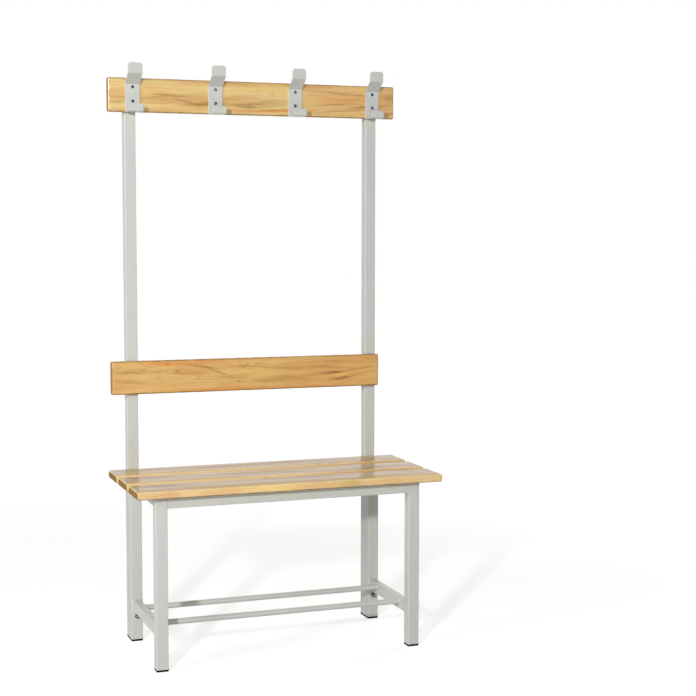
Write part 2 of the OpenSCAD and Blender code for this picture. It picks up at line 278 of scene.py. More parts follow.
def pine_grain() -> bpy.types.NodeTree:
    """Growth rings about a heart line, cut by the board, with fibres along its length.

    Returns:
        The tree of the group.
    """

    def fill(sheet: Sheet, given: Sockets) -> Sockets:
        """Fill the group.

        Args:
            sheet: Where its nodes go.
            given: Its input sockets by name.

        Returns:
            Its output sockets by name.
        """
        fine_wave, late_power, late_end = 0.32, 2.6, 0.86
        fibre_tone, pore_tone = (0.26, 0.87), (0.12, 0.94)
        place = sheet.vector("ADD", given["Place"], given["Shift"])
        slow = sheet.noise(place, (2.1, 15, 15), rough=0.45)
        wave = sheet.noise(place, (7.0, 34, 34))
        warp = sheet.maths("ADD", sheet.maths("SUBTRACT", slow, 0.5),
                           sheet.maths("MULTIPLY", sheet.maths("SUBTRACT", wave, 0.5), fine_wave))
        off = sheet.vector("SUBTRACT", given["Place"], given["Heart"])
        across = sheet.vector("LENGTH", sheet.vector("MULTIPLY", off, (0, 1, 1)))
        along = sheet.node("ShaderNodeSeparateXYZ", {0: given["Place"]}).outputs[0]
        reach = sheet.maths("MULTIPLY_ADD", along, given["Taper"], across)
        reach = sheet.maths("MULTIPLY_ADD", warp, given["Waviness"], reach)
        reach = sheet.maths("ADD", reach, given["Bend"])
        ring = sheet.maths("FRACT", sheet.maths("DIVIDE", reach, given["Ring Width"]))
        rise = sheet.maths("POWER", ring, late_power)
        drop = sheet.maths("SUBTRACT", 1.0, sheet.smooth(ring, late_end, 1.0))
        late = sheet.maths("MULTIPLY", rise, drop)
        year = sheet.noise(place, (1.3, 60, 60), detail=1.0)
        late = sheet.maths("MULTIPLY", late, sheet.smooth(year, 0.25, 0.75))
        fibre = sheet.noise(place, (16, 900, 900), detail=3.0, rough=0.6)
        pore = sheet.noise(place, (60, 2400, 2400), rough=0.6)
        cloud = sheet.noise(place, (3.4, 24, 24), detail=3.0, rough=0.55)
        colour = sheet.mix(sheet.maths("MULTIPLY", late, given["Contrast"]),
                           given["Early"], given["Late"])
        tinted = sheet.maths("MULTIPLY", sheet.smooth(cloud, 0.42, 0.72), given["Cloud"])
        colour = sheet.mix(tinted, colour, given["Warm"])
        shade = sheet.maths("MULTIPLY_ADD", fibre, *fibre_tone)
        shade = sheet.maths("MULTIPLY", shade, sheet.maths("MULTIPLY_ADD", pore, *pore_tone))
        colour = sheet.mix(1.0, colour, sheet.grey(shade), "MULTIPLY")
        height = sheet.maths("MULTIPLY_ADD", fibre, 0.5, sheet.maths("MULTIPLY", late, 0.5))
        return {"Color": colour, "Ring": late, "Height": height, "Fibre": fibre}

    inputs = {"Place": ORIGIN, "Shift": ORIGIN, "Heart": ORIGIN,
              "Ring Width": 0.004, "Taper": 0.01, "Waviness": 0.01, "Bend": 0.0,
              "Contrast": 0.5, "Cloud": 0.5, "Early": (1.0, 1.0, 1.0, 1.0),
              "Late": (0.5, 0.5, 0.5, 1.0), "Warm": (0.7, 0.5, 0.3, 1.0)}
    outputs = {"Color": COLOUR, "Ring": NUMBER, "Height": NUMBER, "Fibre": NUMBER}
    return shared_group("pine_grain", inputs, outputs, fill)


def resin_streak() -> bpy.types.NodeTree:
    """One wavy streak along the grain, with a ragged edge.

    Returns:
        The tree of the group.
    """

    def fill(sheet: Sheet, given: Sockets) -> Sockets:
        """Fill the group.

        Args:
            sheet: Where its nodes go.
            given: Its input sockets by name.

        Returns:
            Its output sockets by name.
        """
        off = sheet.vector("SUBTRACT", given["Place"], given["Centre"])
        split = sheet.node("ShaderNodeSeparateXYZ", {0: off}).outputs
        bend = sheet.noise(given["Place"], (22, 22, 22))
        drift = sheet.maths("MULTIPLY", sheet.maths("SUBTRACT", bend, 0.5), given["Wave"])
        sloped = sheet.maths("MULTIPLY", split[0], given["Slope"])
        height = sheet.maths("ADD", sheet.maths("SUBTRACT", split[1], sloped), drift)
        band = sheet.maths("MULTIPLY", sheet.bell(height, given["Width"]),
                           sheet.bell(split[0], given["Length"]))
        ragged = sheet.noise(given["Place"], (30, 500, 500), detail=3.0, rough=0.6)
        return {"Mask": sheet.maths("MULTIPLY", band, sheet.smooth(ragged, 0.2, 0.62))}

    inputs = {"Place": ORIGIN, "Centre": ORIGIN, "Length": 0.05,
              "Width": 0.003, "Slope": 0.0, "Wave": 0.008}
    return shared_group("resin_streak", inputs, {"Mask": NUMBER}, fill)


def branch_knot() -> bpy.types.NodeTree:
    """One small knot: a dark heart, a halo round it, and the grain's bend past it.

    Returns:
        The tree of the group.
    """

    def fill(sheet: Sheet, given: Sockets) -> Sockets:
        """Fill the group.

        Args:
            sheet: Where its nodes go.
            given: Its input sockets by name.

        Returns:
            Its output sockets by name.
        """
        squash, uneven, heart_start = (0.55, 1.0, 0.15), (0.8, 0.6), 0.35
        halo_at, halo_width, bend_width, bend_share = 1.3, 0.7, 3.2, 1.6
        off = sheet.vector("SUBTRACT", given["Place"], given["Centre"])
        distance = sheet.vector("LENGTH", sheet.vector("MULTIPLY", off, squash))
        jitter = sheet.noise(given["Place"], (160, 320, 320))
        distance = sheet.maths("MULTIPLY", distance, sheet.maths("MULTIPLY_ADD", jitter, *uneven))
        share = sheet.maths("DIVIDE", distance, given["Radius"])
        heart = sheet.maths("SUBTRACT", 1.0, sheet.smooth(share, heart_start, 1.0), clamp=True)
        halo = sheet.bell(sheet.maths("SUBTRACT", share, halo_at), halo_width)
        bend = sheet.maths("MULTIPLY", sheet.bell(share, bend_width), given["Radius"])
        bend = sheet.maths("MULTIPLY", bend, bend_share)
        return {"Heart": heart, "Halo": halo, "Bend": bend}

    inputs = {"Place": ORIGIN, "Centre": ORIGIN, "Radius": 0.003}
    outputs = {"Heart": NUMBER, "Halo": NUMBER, "Bend": NUMBER}
    return shared_group("branch_knot", inputs, outputs, fill)


def edge_tone() -> bpy.types.NodeTree:
    """A broken band along the rounded edges, from the mesh's edge mask; it carries wear, painted
    highlight and painted shade.

    Returns:
        The tree of the group.
    """

    def fill(sheet: Sheet, given: Sockets) -> Sockets:
        """Fill the group.

        Args:
            sheet: Where its nodes go.
            given: Its input sockets by name.

        Returns:
            Its output sockets by name.
        """
        even_share = 0.45
        patch = sheet.noise(given["Place"], (45, 45, 45), detail=3.0, rough=0.6)
        edge_wear_and_light = sheet.maths("MULTIPLY", given["Edge"], sheet.smooth(patch, 0.3, 0.7))
        even = sheet.maths("MULTIPLY", given["Edge"], even_share)
        total = sheet.maths("MULTIPLY_ADD", edge_wear_and_light, 1.0 - even_share, even)
        return {"Mask": sheet.maths("MULTIPLY", total, given["Amount"])}

    inputs = {"Place": ORIGIN, "Edge": 0.0, "Amount": 0.5}
    return shared_group("edge_tone", inputs, {"Mask": NUMBER}, fill)


def handled_film() -> bpy.types.NodeTree:
    """Soft smudges and a trace of dust, which change the gloss from place to place.

    Returns:
        The tree of the group.
    """

    def fill(sheet: Sheet, given: Sockets) -> Sockets:
        """Fill the group.

        Args:
            sheet: Where its nodes go.
            given: Its input sockets by name.

        Returns:
            Its output sockets by name.
        """
        dust_dulls = 0.12
        smudge = sheet.noise(given["Place"], (9, 9, 9), detail=3.0, rough=0.6)
        smudge = sheet.smooth(smudge, 0.35, 0.75)
        speck = sheet.smooth(sheet.noise(given["Place"], (520, 520, 520), detail=1.0), 0.7, 0.8)
        gloss = sheet.maths("MULTIPLY_ADD", smudge, given["Spread"], given["Gloss"])
        rough = sheet.maths("MULTIPLY_ADD", speck, dust_dulls, gloss)
        return {"Roughness": rough, "Dust": speck}

    inputs = {"Place": ORIGIN, "Gloss": 0.3, "Spread": 0.08}
    return shared_group("handled_film", inputs, {"Roughness": NUMBER, "Dust": NUMBER}, fill)


def powder_skin() -> bpy.types.NodeTree:
    """Orange peel of a baked powder coat, and its slight change of tone.

    Returns:
        The tree of the group.
    """

    def fill(sheet: Sheet, given: Sockets) -> Sockets:
        """Fill the group.

        Args:
            sheet: Where its nodes go.
            given: Its input sockets by name.

        Returns:
            Its output sockets by name.
        """
        tone_change, grain_change = (0.06, 0.97), (0.03, 0.985)
        peel = sheet.noise(given["Place"], (420, 420, 420), rough=0.45)
        tone = sheet.noise(given["Place"], (14, 14, 14))
        shade = sheet.maths("MULTIPLY_ADD", tone, *tone_change)
        grain = sheet.noise(given["Place"], (1500, 1500, 1500), detail=1.0)
        shade = sheet.maths("MULTIPLY", shade, sheet.maths("MULTIPLY_ADD", grain, *grain_change))
        return {"Shade": shade, "Height": peel}

    outputs = {"Shade": NUMBER, "Height": NUMBER}
    return shared_group("powder_skin", {"Place": ORIGIN}, outputs, fill)


class Surface(Sheet):
    """A material in the making, with its shader and the place on the piece."""

    def __init__(self, name: str) -> None:
        """Start a material that has only its shader.

        Args:
            name: Name of the material.
        """
        self.material = bpy.data.materials.new(name)
        super().__init__(emptied(self.material))
        self.shader = self.node("ShaderNodeBsdfPrincipled")
        self.node("ShaderNodeOutputMaterial", {"Surface": self.shader.outputs[0]})
        self.place = self.node("ShaderNodeTexCoord").outputs["Object"]

    def shade(self, inputs: dict[str, Any]) -> None:
        """Feed the shader's own sockets."""
        for key, value in inputs.items():
            self.feed(self.shader.inputs[key], value)

    def group(self, tree: bpy.types.NodeTree, inputs: dict[str, Any]) -> Sockets:
        """Place a shared group and give its output sockets by name."""
        return dict(self.node("ShaderNodeGroup", inputs, node_tree=tree).outputs.items())

    def mask(self, name: str) -> Socket:
        """Read a mask that is stored on the mesh."""
        return self.node("ShaderNodeAttribute", attribute_name=name).outputs["Fac"]

    def edge_wear_and_light(self, amount: float) -> Socket:
        """Mask of the band along the edges, from 0 to the amount: wear on the plastic, painted
        highlight on the paint, painted highlight and painted shade on the wood.
        """
        inputs = {"Place": self.place, "Edge": self.mask("edge"), "Amount": amount}
        return self.group(edge_tone(), inputs)["Mask"]

    def film(self, gloss: float, spread: float) -> Sockets:
        """Handled film: the roughness rises from the gloss by up to the spread."""
        inputs = {"Place": self.place, "Gloss": gloss, "Spread": spread}
        return self.group(handled_film(), inputs)

    def bump(self, height: Any, depth: float) -> None:
        """Give the surface a fine relief, with its depth in metres."""
        inputs = {"Height": height, "Strength": 1.0, "Distance": depth}
        self.shade({"Normal": self.node("ShaderNodeBump", inputs).outputs[0]})


# Finishes


@dataclass(frozen=True)
class Finish:
    """What all finishes share: the material's name and the record's slot."""

    name: str
    slot: Slot

    def build(self) -> bpy.types.Material:
        """Build the material."""
        raise NotImplementedError

    def material(self) -> bpy.types.Material:
        """Give the material, which is built once."""
        return bpy.data.materials.get(self.name) or self.build()


@dataclass(frozen=True)
class PaintFinish(Finish):
    """Light grey baked powder coat on steel."""

    name: str = "light_grey_powder_coat"
    slot: Slot = Slot.STEEL
    colour: Colour = srgb(204, 207, 201)
    # Painted highlight: the lighter colour of the band along the rounded edges.
    edge_highlight_colour: Colour = srgb(217, 220, 213)
    edge_amount: float = 0.5
    gloss: float = 0.3
    spread: float = 0.1
    peel_depth: float = 0.02 * MM

    def build(self) -> bpy.types.Material:
        """Build the material.

        Returns:
            The material.
        """
        skin = Surface(self.name)
        powder = skin.group(powder_skin(), {"Place": skin.place})
        # Painted highlight along the rounded edges.
        colour = skin.mix(skin.edge_wear_and_light(self.edge_amount), self.colour, self.edge_highlight_colour)
        colour = skin.mix(1.0, colour, skin.grey(powder["Shade"]), "MULTIPLY")
        film = skin.film(self.gloss, self.spread)
        skin.shade({"Base Color": colour, "Roughness": film["Roughness"]})
        skin.bump(powder["Height"], self.peel_depth)
        return skin.material


@dataclass(frozen=True)
class Knot:
    """A small knot on a board, from the board's middle, in millimetres."""

    along: float
    across: float
    radius: float
    dark: float = 0.7


@dataclass(frozen=True)
class Streak:
    """A streak on a board, from the board's middle, in millimetres."""

    along: float
    across: float
    length: float
    width: float
    strength: float
    tint: Tint = Tint.BROWN
    slope: float = 0.0
    wave: float = 8.0


@dataclass(frozen=True)
class PineFinish(Finish):
    """Clear-varnished pine, flat sawn, with its own figure on each board."""

    name: str = "varnished_pine_board"
    slot: Slot = Slot.PINE
    lie: Lie = Lie.UPRIGHT
    middle: Place = ORIGIN
    shift: Place = ORIGIN
    heart: Place = (0.0, 0.004, 0.062)
    ring_width: float = 4.2 * MM
    taper: float = 0.012
    waviness: float = 0.016
    contrast: float = 0.55
    cloud: float = 0.6
    early: Colour = srgb(230, 199, 129)
    late: Colour = srgb(180, 122, 56)
    warm: Colour = srgb(205, 147, 76)
    knots: tuple[Knot, ...] = ()
    streaks: tuple[Streak, ...] = ()
    knot_colour: Colour = srgb(84, 44, 18)
    halo_share: float = 0.3
    brown: Colour = srgb(134, 82, 14)
    orange: Colour = srgb(216, 126, 40)
    gold: Colour = srgb(252, 210, 92)
    olive: Colour = srgb(180, 136, 40)
    pale: Colour = srgb(246, 218, 172)
    # Edge band colours: the lower-edge colour is painted shade on the edges that face down; the
    # upper-edge colour is a darker band on the boards and a painted highlight on the slats.
    top_edge: Colour = srgb(132, 84, 34)
    low_edge_shade: Colour = srgb(92, 56, 22)
    edge_amount: float = 0.9
    edge_coat: float = 0.25
    streak_coat: float = 0.2
    coat: float = 0.8
    coat_change: float = 0.1
    coat_roughness: float = 0.15
    end_colour: Colour = srgb(172, 132, 84)
    end_rings: Colour = srgb(134, 90, 46)
    end_contrast: float = 0.8
    end_roughness: float = 0.85
    gloss: float = 0.42
    spread: float = 0.1
    specular: float = 0.5
    relief: float = 0.04 * MM

    def local(self, wood: Surface) -> Socket:
        """Find the place on the board.

        Args:
            wood: The material in the making.

        Returns:
            The place from the board's middle along its length, width and thickness.
        """
        off = wood.vector("SUBTRACT", wood.place, self.middle)
        split = wood.node("ShaderNodeSeparateXYZ", {0: off}).outputs
        turned = {number: split[axis] for number, axis in enumerate(self.lie.value)}
        return wood.node("ShaderNodeCombineXYZ", turned).outputs[0]

    def grown(self, wood: Surface, local: Socket, bend: Any) -> Sockets:
        """Grain of the board.

        Args:
            wood: The material in the making.
            local: Place on the board.
            bend: How far the knots push the rings aside.

        Returns:
            The grain's sockets by name.
        """
        return wood.group(pine_grain(), {
            "Place": local, "Shift": self.shift, "Heart": self.heart,
            "Ring Width": self.ring_width, "Taper": self.taper, "Waviness": self.waviness,
            "Bend": bend, "Contrast": self.contrast, "Cloud": self.cloud, "Early": self.early,
            "Late": self.late, "Warm": self.warm})

    def streaked(self, wood: Surface, local: Socket, colour: Socket) -> tuple[Socket, Any]:
        """Lay the streaks over a colour.

        Args:
            wood: The material in the making.
            local: Place on the board.
            colour: The colour below them.

        Returns:
            The new colour, and the mask of all streaks.
        """
        tints = {Tint.BROWN: self.brown, Tint.ORANGE: self.orange, Tint.GOLD: self.gold,
                 Tint.OLIVE: self.olive, Tint.DARK: self.knot_colour, Tint.PALE: self.pale}
        soaked: Any = 0.0
        for streak in self.streaks:
            band = wood.group(resin_streak(), {
                "Place": local, "Centre": (streak.along * MM, streak.across * MM, 0.0),
                "Length": streak.length * MM, "Width": streak.width * MM,
                "Slope": streak.slope, "Wave": streak.wave * MM})
            share = wood.maths("MULTIPLY", band["Mask"], streak.strength, clamp=True)
            colour = wood.mix(share, colour, tints[streak.tint])
            soaked = wood.maths("MAXIMUM", soaked, share)
        return colour, soaked

    def varnish(self, wood: Surface, fibre: Socket, *bare: tuple[Any, float]) -> Socket:
        """Weight of the varnish coat, which follows the fibres.

        Args:
            wood: The material in the making.
            fibre: Value of the fibres.
            bare: Mask of a place with less varnish, and the share that is left there.

        Returns:
            The weight's socket.
        """
        coat = wood.maths("MULTIPLY_ADD", fibre, self.coat_change, self.coat)
        for mask, left in bare:
            coat = wood.maths("MULTIPLY", coat, wood.maths("MULTIPLY_ADD", mask, left - 1.0, 1.0))
        return coat

    def build(self) -> bpy.types.Material:
        """Build the material.

        Returns:
            The material.
        """
        wood = Surface(self.name)
        local = self.local(wood)
        bend: Any = 0.0
        placed: list[tuple[Knot, Sockets]] = []
        for knot in self.knots:
            centre = (knot.along * MM, knot.across * MM, 0.0)
            made = wood.group(branch_knot(), {"Place": local, "Centre": centre,
                                              "Radius": knot.radius * MM})
            bend = wood.maths("ADD", bend, made["Bend"])
            placed.append((knot, made))
        grain = self.grown(wood, local, bend)
        colour, soaked = self.streaked(wood, local, grain["Color"])
        for knot, made in placed:
            halo = wood.maths("MULTIPLY", made["Halo"], self.halo_share * knot.dark)
            colour = wood.mix(halo, colour, self.late)
            heart = wood.maths("MULTIPLY", made["Heart"], knot.dark)
            colour = wood.mix(heart, colour, self.knot_colour)
        end, edge = wood.mask("end"), wood.edge_wear_and_light(self.edge_amount)
        rings = wood.maths("MULTIPLY", grain["Ring"], self.end_contrast)
        colour = wood.mix(end, colour, wood.mix(rings, self.end_colour, self.end_rings))
        # Painted shade on the edges that face down; the upper-edge colour on the rest of the band.
        tone = wood.mix(wood.mask("low"), self.top_edge, self.low_edge_shade)
        film = wood.film(self.gloss, self.spread)["Roughness"]
        dry = wood.maths("MULTIPLY", end, self.end_roughness)
        varnish = self.varnish(wood, grain["Fibre"], (end, 0.0), (edge, self.edge_coat),
                               (soaked, self.streak_coat))
        wood.shade({"Base Color": wood.mix(edge, colour, tone),
                    "Roughness": wood.maths("MAXIMUM", film, dry),
                    "Coat Weight": varnish, "Coat Roughness": self.coat_roughness,
                    "Specular IOR Level": self.specular})
        wood.bump(grain["Height"], self.relief)
        return wood.material


@dataclass(frozen=True)
class PlasticFinish(Finish):
    """Black moulded plastic with a fine spark-eroded texture."""

    name: str = "black_moulded_plastic"
    slot: Slot = Slot.PLASTIC
    colour: Colour = srgb(9, 9, 10)
    worn: Colour = srgb(18, 18, 18)
    edge_amount: float = 0.7
    dust: float = 0.35
    gloss: float = 0.6
    spread: float = 0.16
    specular: float = 0.06
    texture: float = 2600.0
    relief: float = 0.03 * MM

    def build(self) -> bpy.types.Material:
        """Build the material.

        Returns:
            The material.
        """
        skin = Surface(self.name)
        film = skin.film(self.gloss, self.spread)
        colour = skin.mix(skin.edge_wear_and_light(self.edge_amount), self.colour, self.worn)
        colour = skin.mix(skin.maths("MULTIPLY", film["Dust"], self.dust), colour, self.worn)
        skin.shade({"Base Color": colour, "Roughness": film["Roughness"],
                    "Specular IOR Level": self.specular})
        skin.bump(skin.noise(skin.place, (self.texture,) * 3, rough=0.6), self.relief)
        return skin.material


@dataclass(frozen=True)
class ZincFinish(Finish):
    """Bright zinc plate on screws, bolts, washers and nuts."""

    name: str = "bright_zinc_plate"
    slot: Slot = Slot.ZINC
    colour: Colour = srgb(112, 114, 117)
    dull: Colour = srgb(70, 71, 74)
    # Painted shade: the dark colour inside the cross recess.
    recess_shade_colour: Colour = srgb(20, 20, 21)
    gloss: float = 0.2
    spread: float = 0.16
    texture: float = 700.0
    relief: float = 0.01 * MM

    def build(self) -> bpy.types.Material:
        """Build the material.

        Returns:
            The material.
        """
        skin = Surface(self.name)
        cloud = skin.noise(skin.place, (self.texture,) * 3, detail=3.0, rough=0.6)
        pit, film = skin.mask("pit"), skin.film(self.gloss, self.spread)
        colour = skin.mix(skin.smooth(cloud, 0.35, 0.75), self.colour, self.dull)
        # Painted shade in the recess, from the pit mask.
        skin.shade({"Base Color": skin.mix(pit, colour, self.recess_shade_colour),
                    "Roughness": skin.maths("MAXIMUM", film["Roughness"], pit), "Metallic": 1.0})
        skin.bump(cloud, self.relief)
        return skin.material


PAINT, PLASTIC, ZINC = PaintFinish(), PlasticFinish(), ZincFinish()


# Meshes


def rounded_outline(width: float, depth: float, radius: float, steps: int = 6) -> Outline:
    """Outline of a rectangle with rounded corners, about its middle.

    Args:
        width: Size along the first axis.
        depth: Size along the second axis.
        radius: Radius of the corners.
        steps: Straight steps in each corner.

    Returns:
        The points in turn.
    """
    points: Outline = []
    for number, (a, b) in enumerate(((1, 1), (-1, 1), (-1, -1), (1, -1))):
        for step in range(steps + 1):
            angle = math.pi / 2 * (number + step / steps)
            points.append((a * (width / 2 - radius) + radius * math.cos(angle),
                           b * (depth / 2 - radius) + radius * math.sin(angle)))
    return points


def circle_outline(radius: float, steps: int = 48) -> Outline:
    """Outline of a circle about its middle.

    Args:
        radius: Radius.
        steps: Straight steps.

    Returns:
        The points in turn.
    """
    turn = 2 * math.pi / steps
    return [(radius * math.cos(turn * i), radius * math.sin(turn * i)) for i in range(steps)]


def loft(rings: Sequence[Sequence[Vector]], loop: bool = False) -> Sketch:
    """Skin a row of rings that have the same number of points.

    Args:
        rings: The rings in turn.
        loop: Join the last ring to the first; both are closed where there is no loop.

    Returns:
        The points and faces.
    """
    count = len(rings[0])
    points = [point for ring in rings for point in ring]
    faces: list[list[int]] = []
    for row in range(len(rings) if loop else len(rings) - 1):
        here, there = row * count, (row + 1) % len(rings) * count
        for i in range(count):
            j = (i + 1) % count
            faces.append([here + i, here + j, there + j, there + i])
    if not loop:
        faces.append(list(range(count))[::-1])
        faces.append([(len(rings) - 1) * count + i for i in range(count)])
    return points, faces


def joined(*sketches: Sketch) -> Sketch:
    """Put several sketches in one.

    Args:
        sketches: The sketches.

    Returns:
        One sketch with all of them.
    """
    points: list[Vector] = []
    faces: list[list[int]] = []
    for more_points, more_faces in sketches:
        base = len(points)
        points += more_points
        faces += [[base + i for i in face] for face in more_faces]
    return points, faces


def revolve(profile: Sequence[tuple[float, float]], steps: int = 40) -> Sketch:
    """Turn a closed profile round the Z axis.

    Args:
        profile: Distance from the axis and height of each point in turn.
        steps: Steps of the full turn.

    Returns:
        The points and faces.
    """
    rings = []
    for i in range(steps):
        turn = 2 * math.pi * i / steps
        rings.append([Vector((r * math.cos(turn), r * math.sin(turn), z)) for r, z in profile])
    return loft(rings, loop=True)


def ring_at(axis: int, at: float, outline: Outline, middle: Vector) -> list[Vector]:
    """Place an outline across an axis.

    Args:
        axis: Number of the axis.
        at: Position on the axis.
        outline: The outline, in the order of the two other axes.
        middle: Middle of the outline in space.

    Returns:
        Its points in space.
    """
    first, second = (i for i in range(3) if i != axis)
    ring = []
    for a, b in outline:
        point = Vector((0, 0, 0))
        point[axis], point[first], point[second] = at, middle[first] + a, middle[second] + b
        ring.append(point)
    return ring


def ends_of(low: float, high: float, rounding: float, steps: int = 3) -> list[tuple[float, float]]:
    """Stations of a body with rounded ends.

    Args:
        low: Where the body starts.
        high: Where the body ends.
        rounding: Radius of the rounding at both ends.
        steps: Steps of each rounding.

    Returns:
        Position and inset of each station in turn.
    """
    stations = [(low + rounding * (1 - math.cos(math.pi / 2 * step / steps)),
                 rounding * (1 - math.sin(math.pi / 2 * step / steps)))
                for step in range(steps + 1)]
    return stations + [(high - (at - low), inset) for at, inset in reversed(stations)]


def tube_sketch(low: Vector, high: Vector, axis: int, radius: float, wall: float,
                rim: float = 0.3 * MM, bore_radius: float = 0.5 * MM) -> Sketch:
    """Square or flat tube that fills a box, open at both ends.

    Args:
        low: Lowest corner of the box.
        high: Highest corner of the box.
        axis: Axis that the tube runs along.
        radius: Outer radius of its corners.
        wall: Thickness of its wall.
        rim: Rounding of its ends.
        bore_radius: Inner radius of its corners.

    Returns:
        The points and faces.
    """
    middle, size = (low + high) / 2, high - low
    width, depth = (size[i] for i in range(3) if i != axis)
    rings = []
    for at, inset in ends_of(low[axis], high[axis], rim, 2):
        outline = rounded_outline(width - 2 * inset, depth - 2 * inset, radius - inset)
        rings.append(ring_at(axis, at, outline, middle))
    inner = rounded_outline(width - 2 * wall, depth - 2 * wall, bore_radius)
    rings += [ring_at(axis, at, inner, middle) for at in (high[axis], low[axis])]
    return loft(rings, loop=True)


def board_sketch(low: Vector, high: Vector, radius: float,
                 least: float = 0.6 * MM) -> Sketch:
    """Board along X with all its edges rounded.

    Args:
        low: Lowest corner of its box.
        high: Highest corner of its box.
        radius: Radius of its edges.
        least: Least radius of the corners towards its ends.

    Returns:
        The points and faces.
    """
    middle, size = (low + high) / 2, high - low
    rings = []
    for at, inset in ends_of(low.x, high.x, radius, 6):
        corner = max(radius - inset, least)
        outline = rounded_outline(size.y - 2 * inset, size.z - 2 * inset, corner)
        rings.append(ring_at(0, at, outline, middle))
    return loft(rings)


def masked(mesh: bpy.types.Mesh, name: str,
           value: Callable[[bpy.types.MeshVertex], float]) -> None:
    """Store a mask on a mesh's points.

    Args:
        mesh: The mesh.
        name: Name of the mask.
        value: Gives the value at a point; it is cut to 0 to 1.
    """
    shares = [min(1.0, max(0.0, value(vertex))) for vertex in mesh.vertices]
    mesh.attributes.new(name, "FLOAT", "POINT").data.foreach_set("value", shares)


@dataclass
class Maker:
    """Turns sketches into pieces, dresses them and puts them on the frame."""

    merge_distance: float = 1e-7
    edge_start: float = 0.995
    edge_span: float = 0.14
    end_start: float = 0.5
    low_slope: float = 2.0
    made: int = 0

    def mesh(self, name: str, sketch: Sketch, flats: Sequence[Vector] = AXES) -> bpy.types.Mesh:
        """Make a mesh with smooth faces and its edge, end and underside masks.

        Args:
            name: Name of the mesh.
            sketch: Its points and faces.
            flats: Directions of its flat faces; the edge mask is where it turns away from
                them, and it is empty where there are none.

        Returns:
            The mesh.
        """

        def turned(point: bpy.types.MeshVertex) -> float:
            """How far the surface turns away from the flat faces."""
            flat = max((abs(point.normal.dot(direction)) for direction in flats), default=1.0)
            return (self.edge_start - flat) / self.edge_span

        mesh = bpy.data.meshes.new(name)
        mesh.from_pydata(sketch[0], [], sketch[1])
        shape = bmesh.new()
        shape.from_mesh(mesh)
        bmesh.ops.remove_doubles(shape, verts=shape.verts, dist=self.merge_distance)
        bmesh.ops.recalc_face_normals(shape, faces=shape.faces)
        shape.to_mesh(mesh)
        shape.free()
        mesh.shade_smooth()
        mesh.set_sharp_from_angle(angle=SHARP_ANGLE)
        masked(mesh, "edge", turned)
        masked(mesh, "end", lambda point: (abs(point.normal.x) - self.end_start)
               / (1 - self.end_start))
        masked(mesh, "low", lambda point: 0.5 - self.low_slope * point.normal.z)
        return mesh

    def piece(self, name: str, mesh: bpy.types.Mesh, finish: Finish, nodes: Sequence[str] = (),
              at: Matrix | None = None) -> bpy.types.Object:
        """Put a piece on the frame.

        Args:
            name: Name of the piece.
            mesh: Its mesh.
            finish: Its finish, with the record's slot.
            nodes: Solids of the frame that it stands for.
            at: Its place, where the mesh isn't drawn in place.

        Returns:
            The piece.
        """
        if not mesh.materials:
            mesh.materials.append(finish.material())
        item = bpy.data.objects.new(name, mesh)
        bpy.context.scene.collection.objects.link(item)
        if at is not None:
            item.matrix_world = at
        even = item.modifiers.new("even_normals", "WEIGHTED_NORMAL")
        even.keep_sharp = True
        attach(item, BODY)
        if nodes:
            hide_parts(*nodes)
        self.made += 1
        LOG.info("%s: %d faces, slot %s", name, len(mesh.polygons), finish.slot.value)
        return item

    def drawn(self, name: str, sketch: Sketch, finish: Finish, nodes: Sequence[str] = (),
              flats: Sequence[Vector] = AXES) -> bpy.types.Object:
        """Put a piece on the frame from its sketch, which is drawn in place.

        Args:
            name: Name of the piece and its mesh.
            sketch: Its points and faces.
            finish: Its finish.
            nodes: Solids of the frame that it stands for.
            flats: Directions of its flat faces.

        Returns:
            The piece.
        """
        return self.piece(name, self.mesh(name, sketch, flats), finish, nodes)


def carved(target: bpy.types.Mesh, cutter: bpy.types.Mesh) -> bpy.types.Mesh:
    """Cut one closed mesh out of another.

    Args:
        target: Mesh that is cut.
        cutter: Mesh that is taken away.

    Returns:
        A new mesh.
    """
    body = bpy.data.objects.new("carve_body", target)
    tool = bpy.data.objects.new("carve_tool", cutter)
    for item in (body, tool):
        bpy.context.scene.collection.objects.link(item)
    cut = body.modifiers.new("cut", "BOOLEAN")
    cut.operation = "DIFFERENCE"
    cut.object = tool
    cut.solver = "EXACT"
    graph = bpy.context.evaluated_depsgraph_get()
    mesh = bpy.data.meshes.new_from_object(body.evaluated_get(graph))
    for item in (body, tool):
        bpy.data.objects.remove(item)
    return mesh


# The boards' figure


# A row is a call's values in turn. Knot: along, across, radius and dark. Streak: along,
# across, length, width and strength, then its tint, slope and wave where they matter.
BROWN, ORANGE, GOLD, OLIVE, DARK, PALE = Tint


def knots(*rows: Sequence[Any]) -> tuple[Knot, ...]:
    """Knots from rows of values in the order of their fields."""
    return tuple(Knot(*row) for row in rows)


def streaks(*rows: Sequence[Any]) -> tuple[Streak, ...]:
    """Streaks from rows of values in the order of their fields."""
    return tuple(Streak(*row) for row in rows)


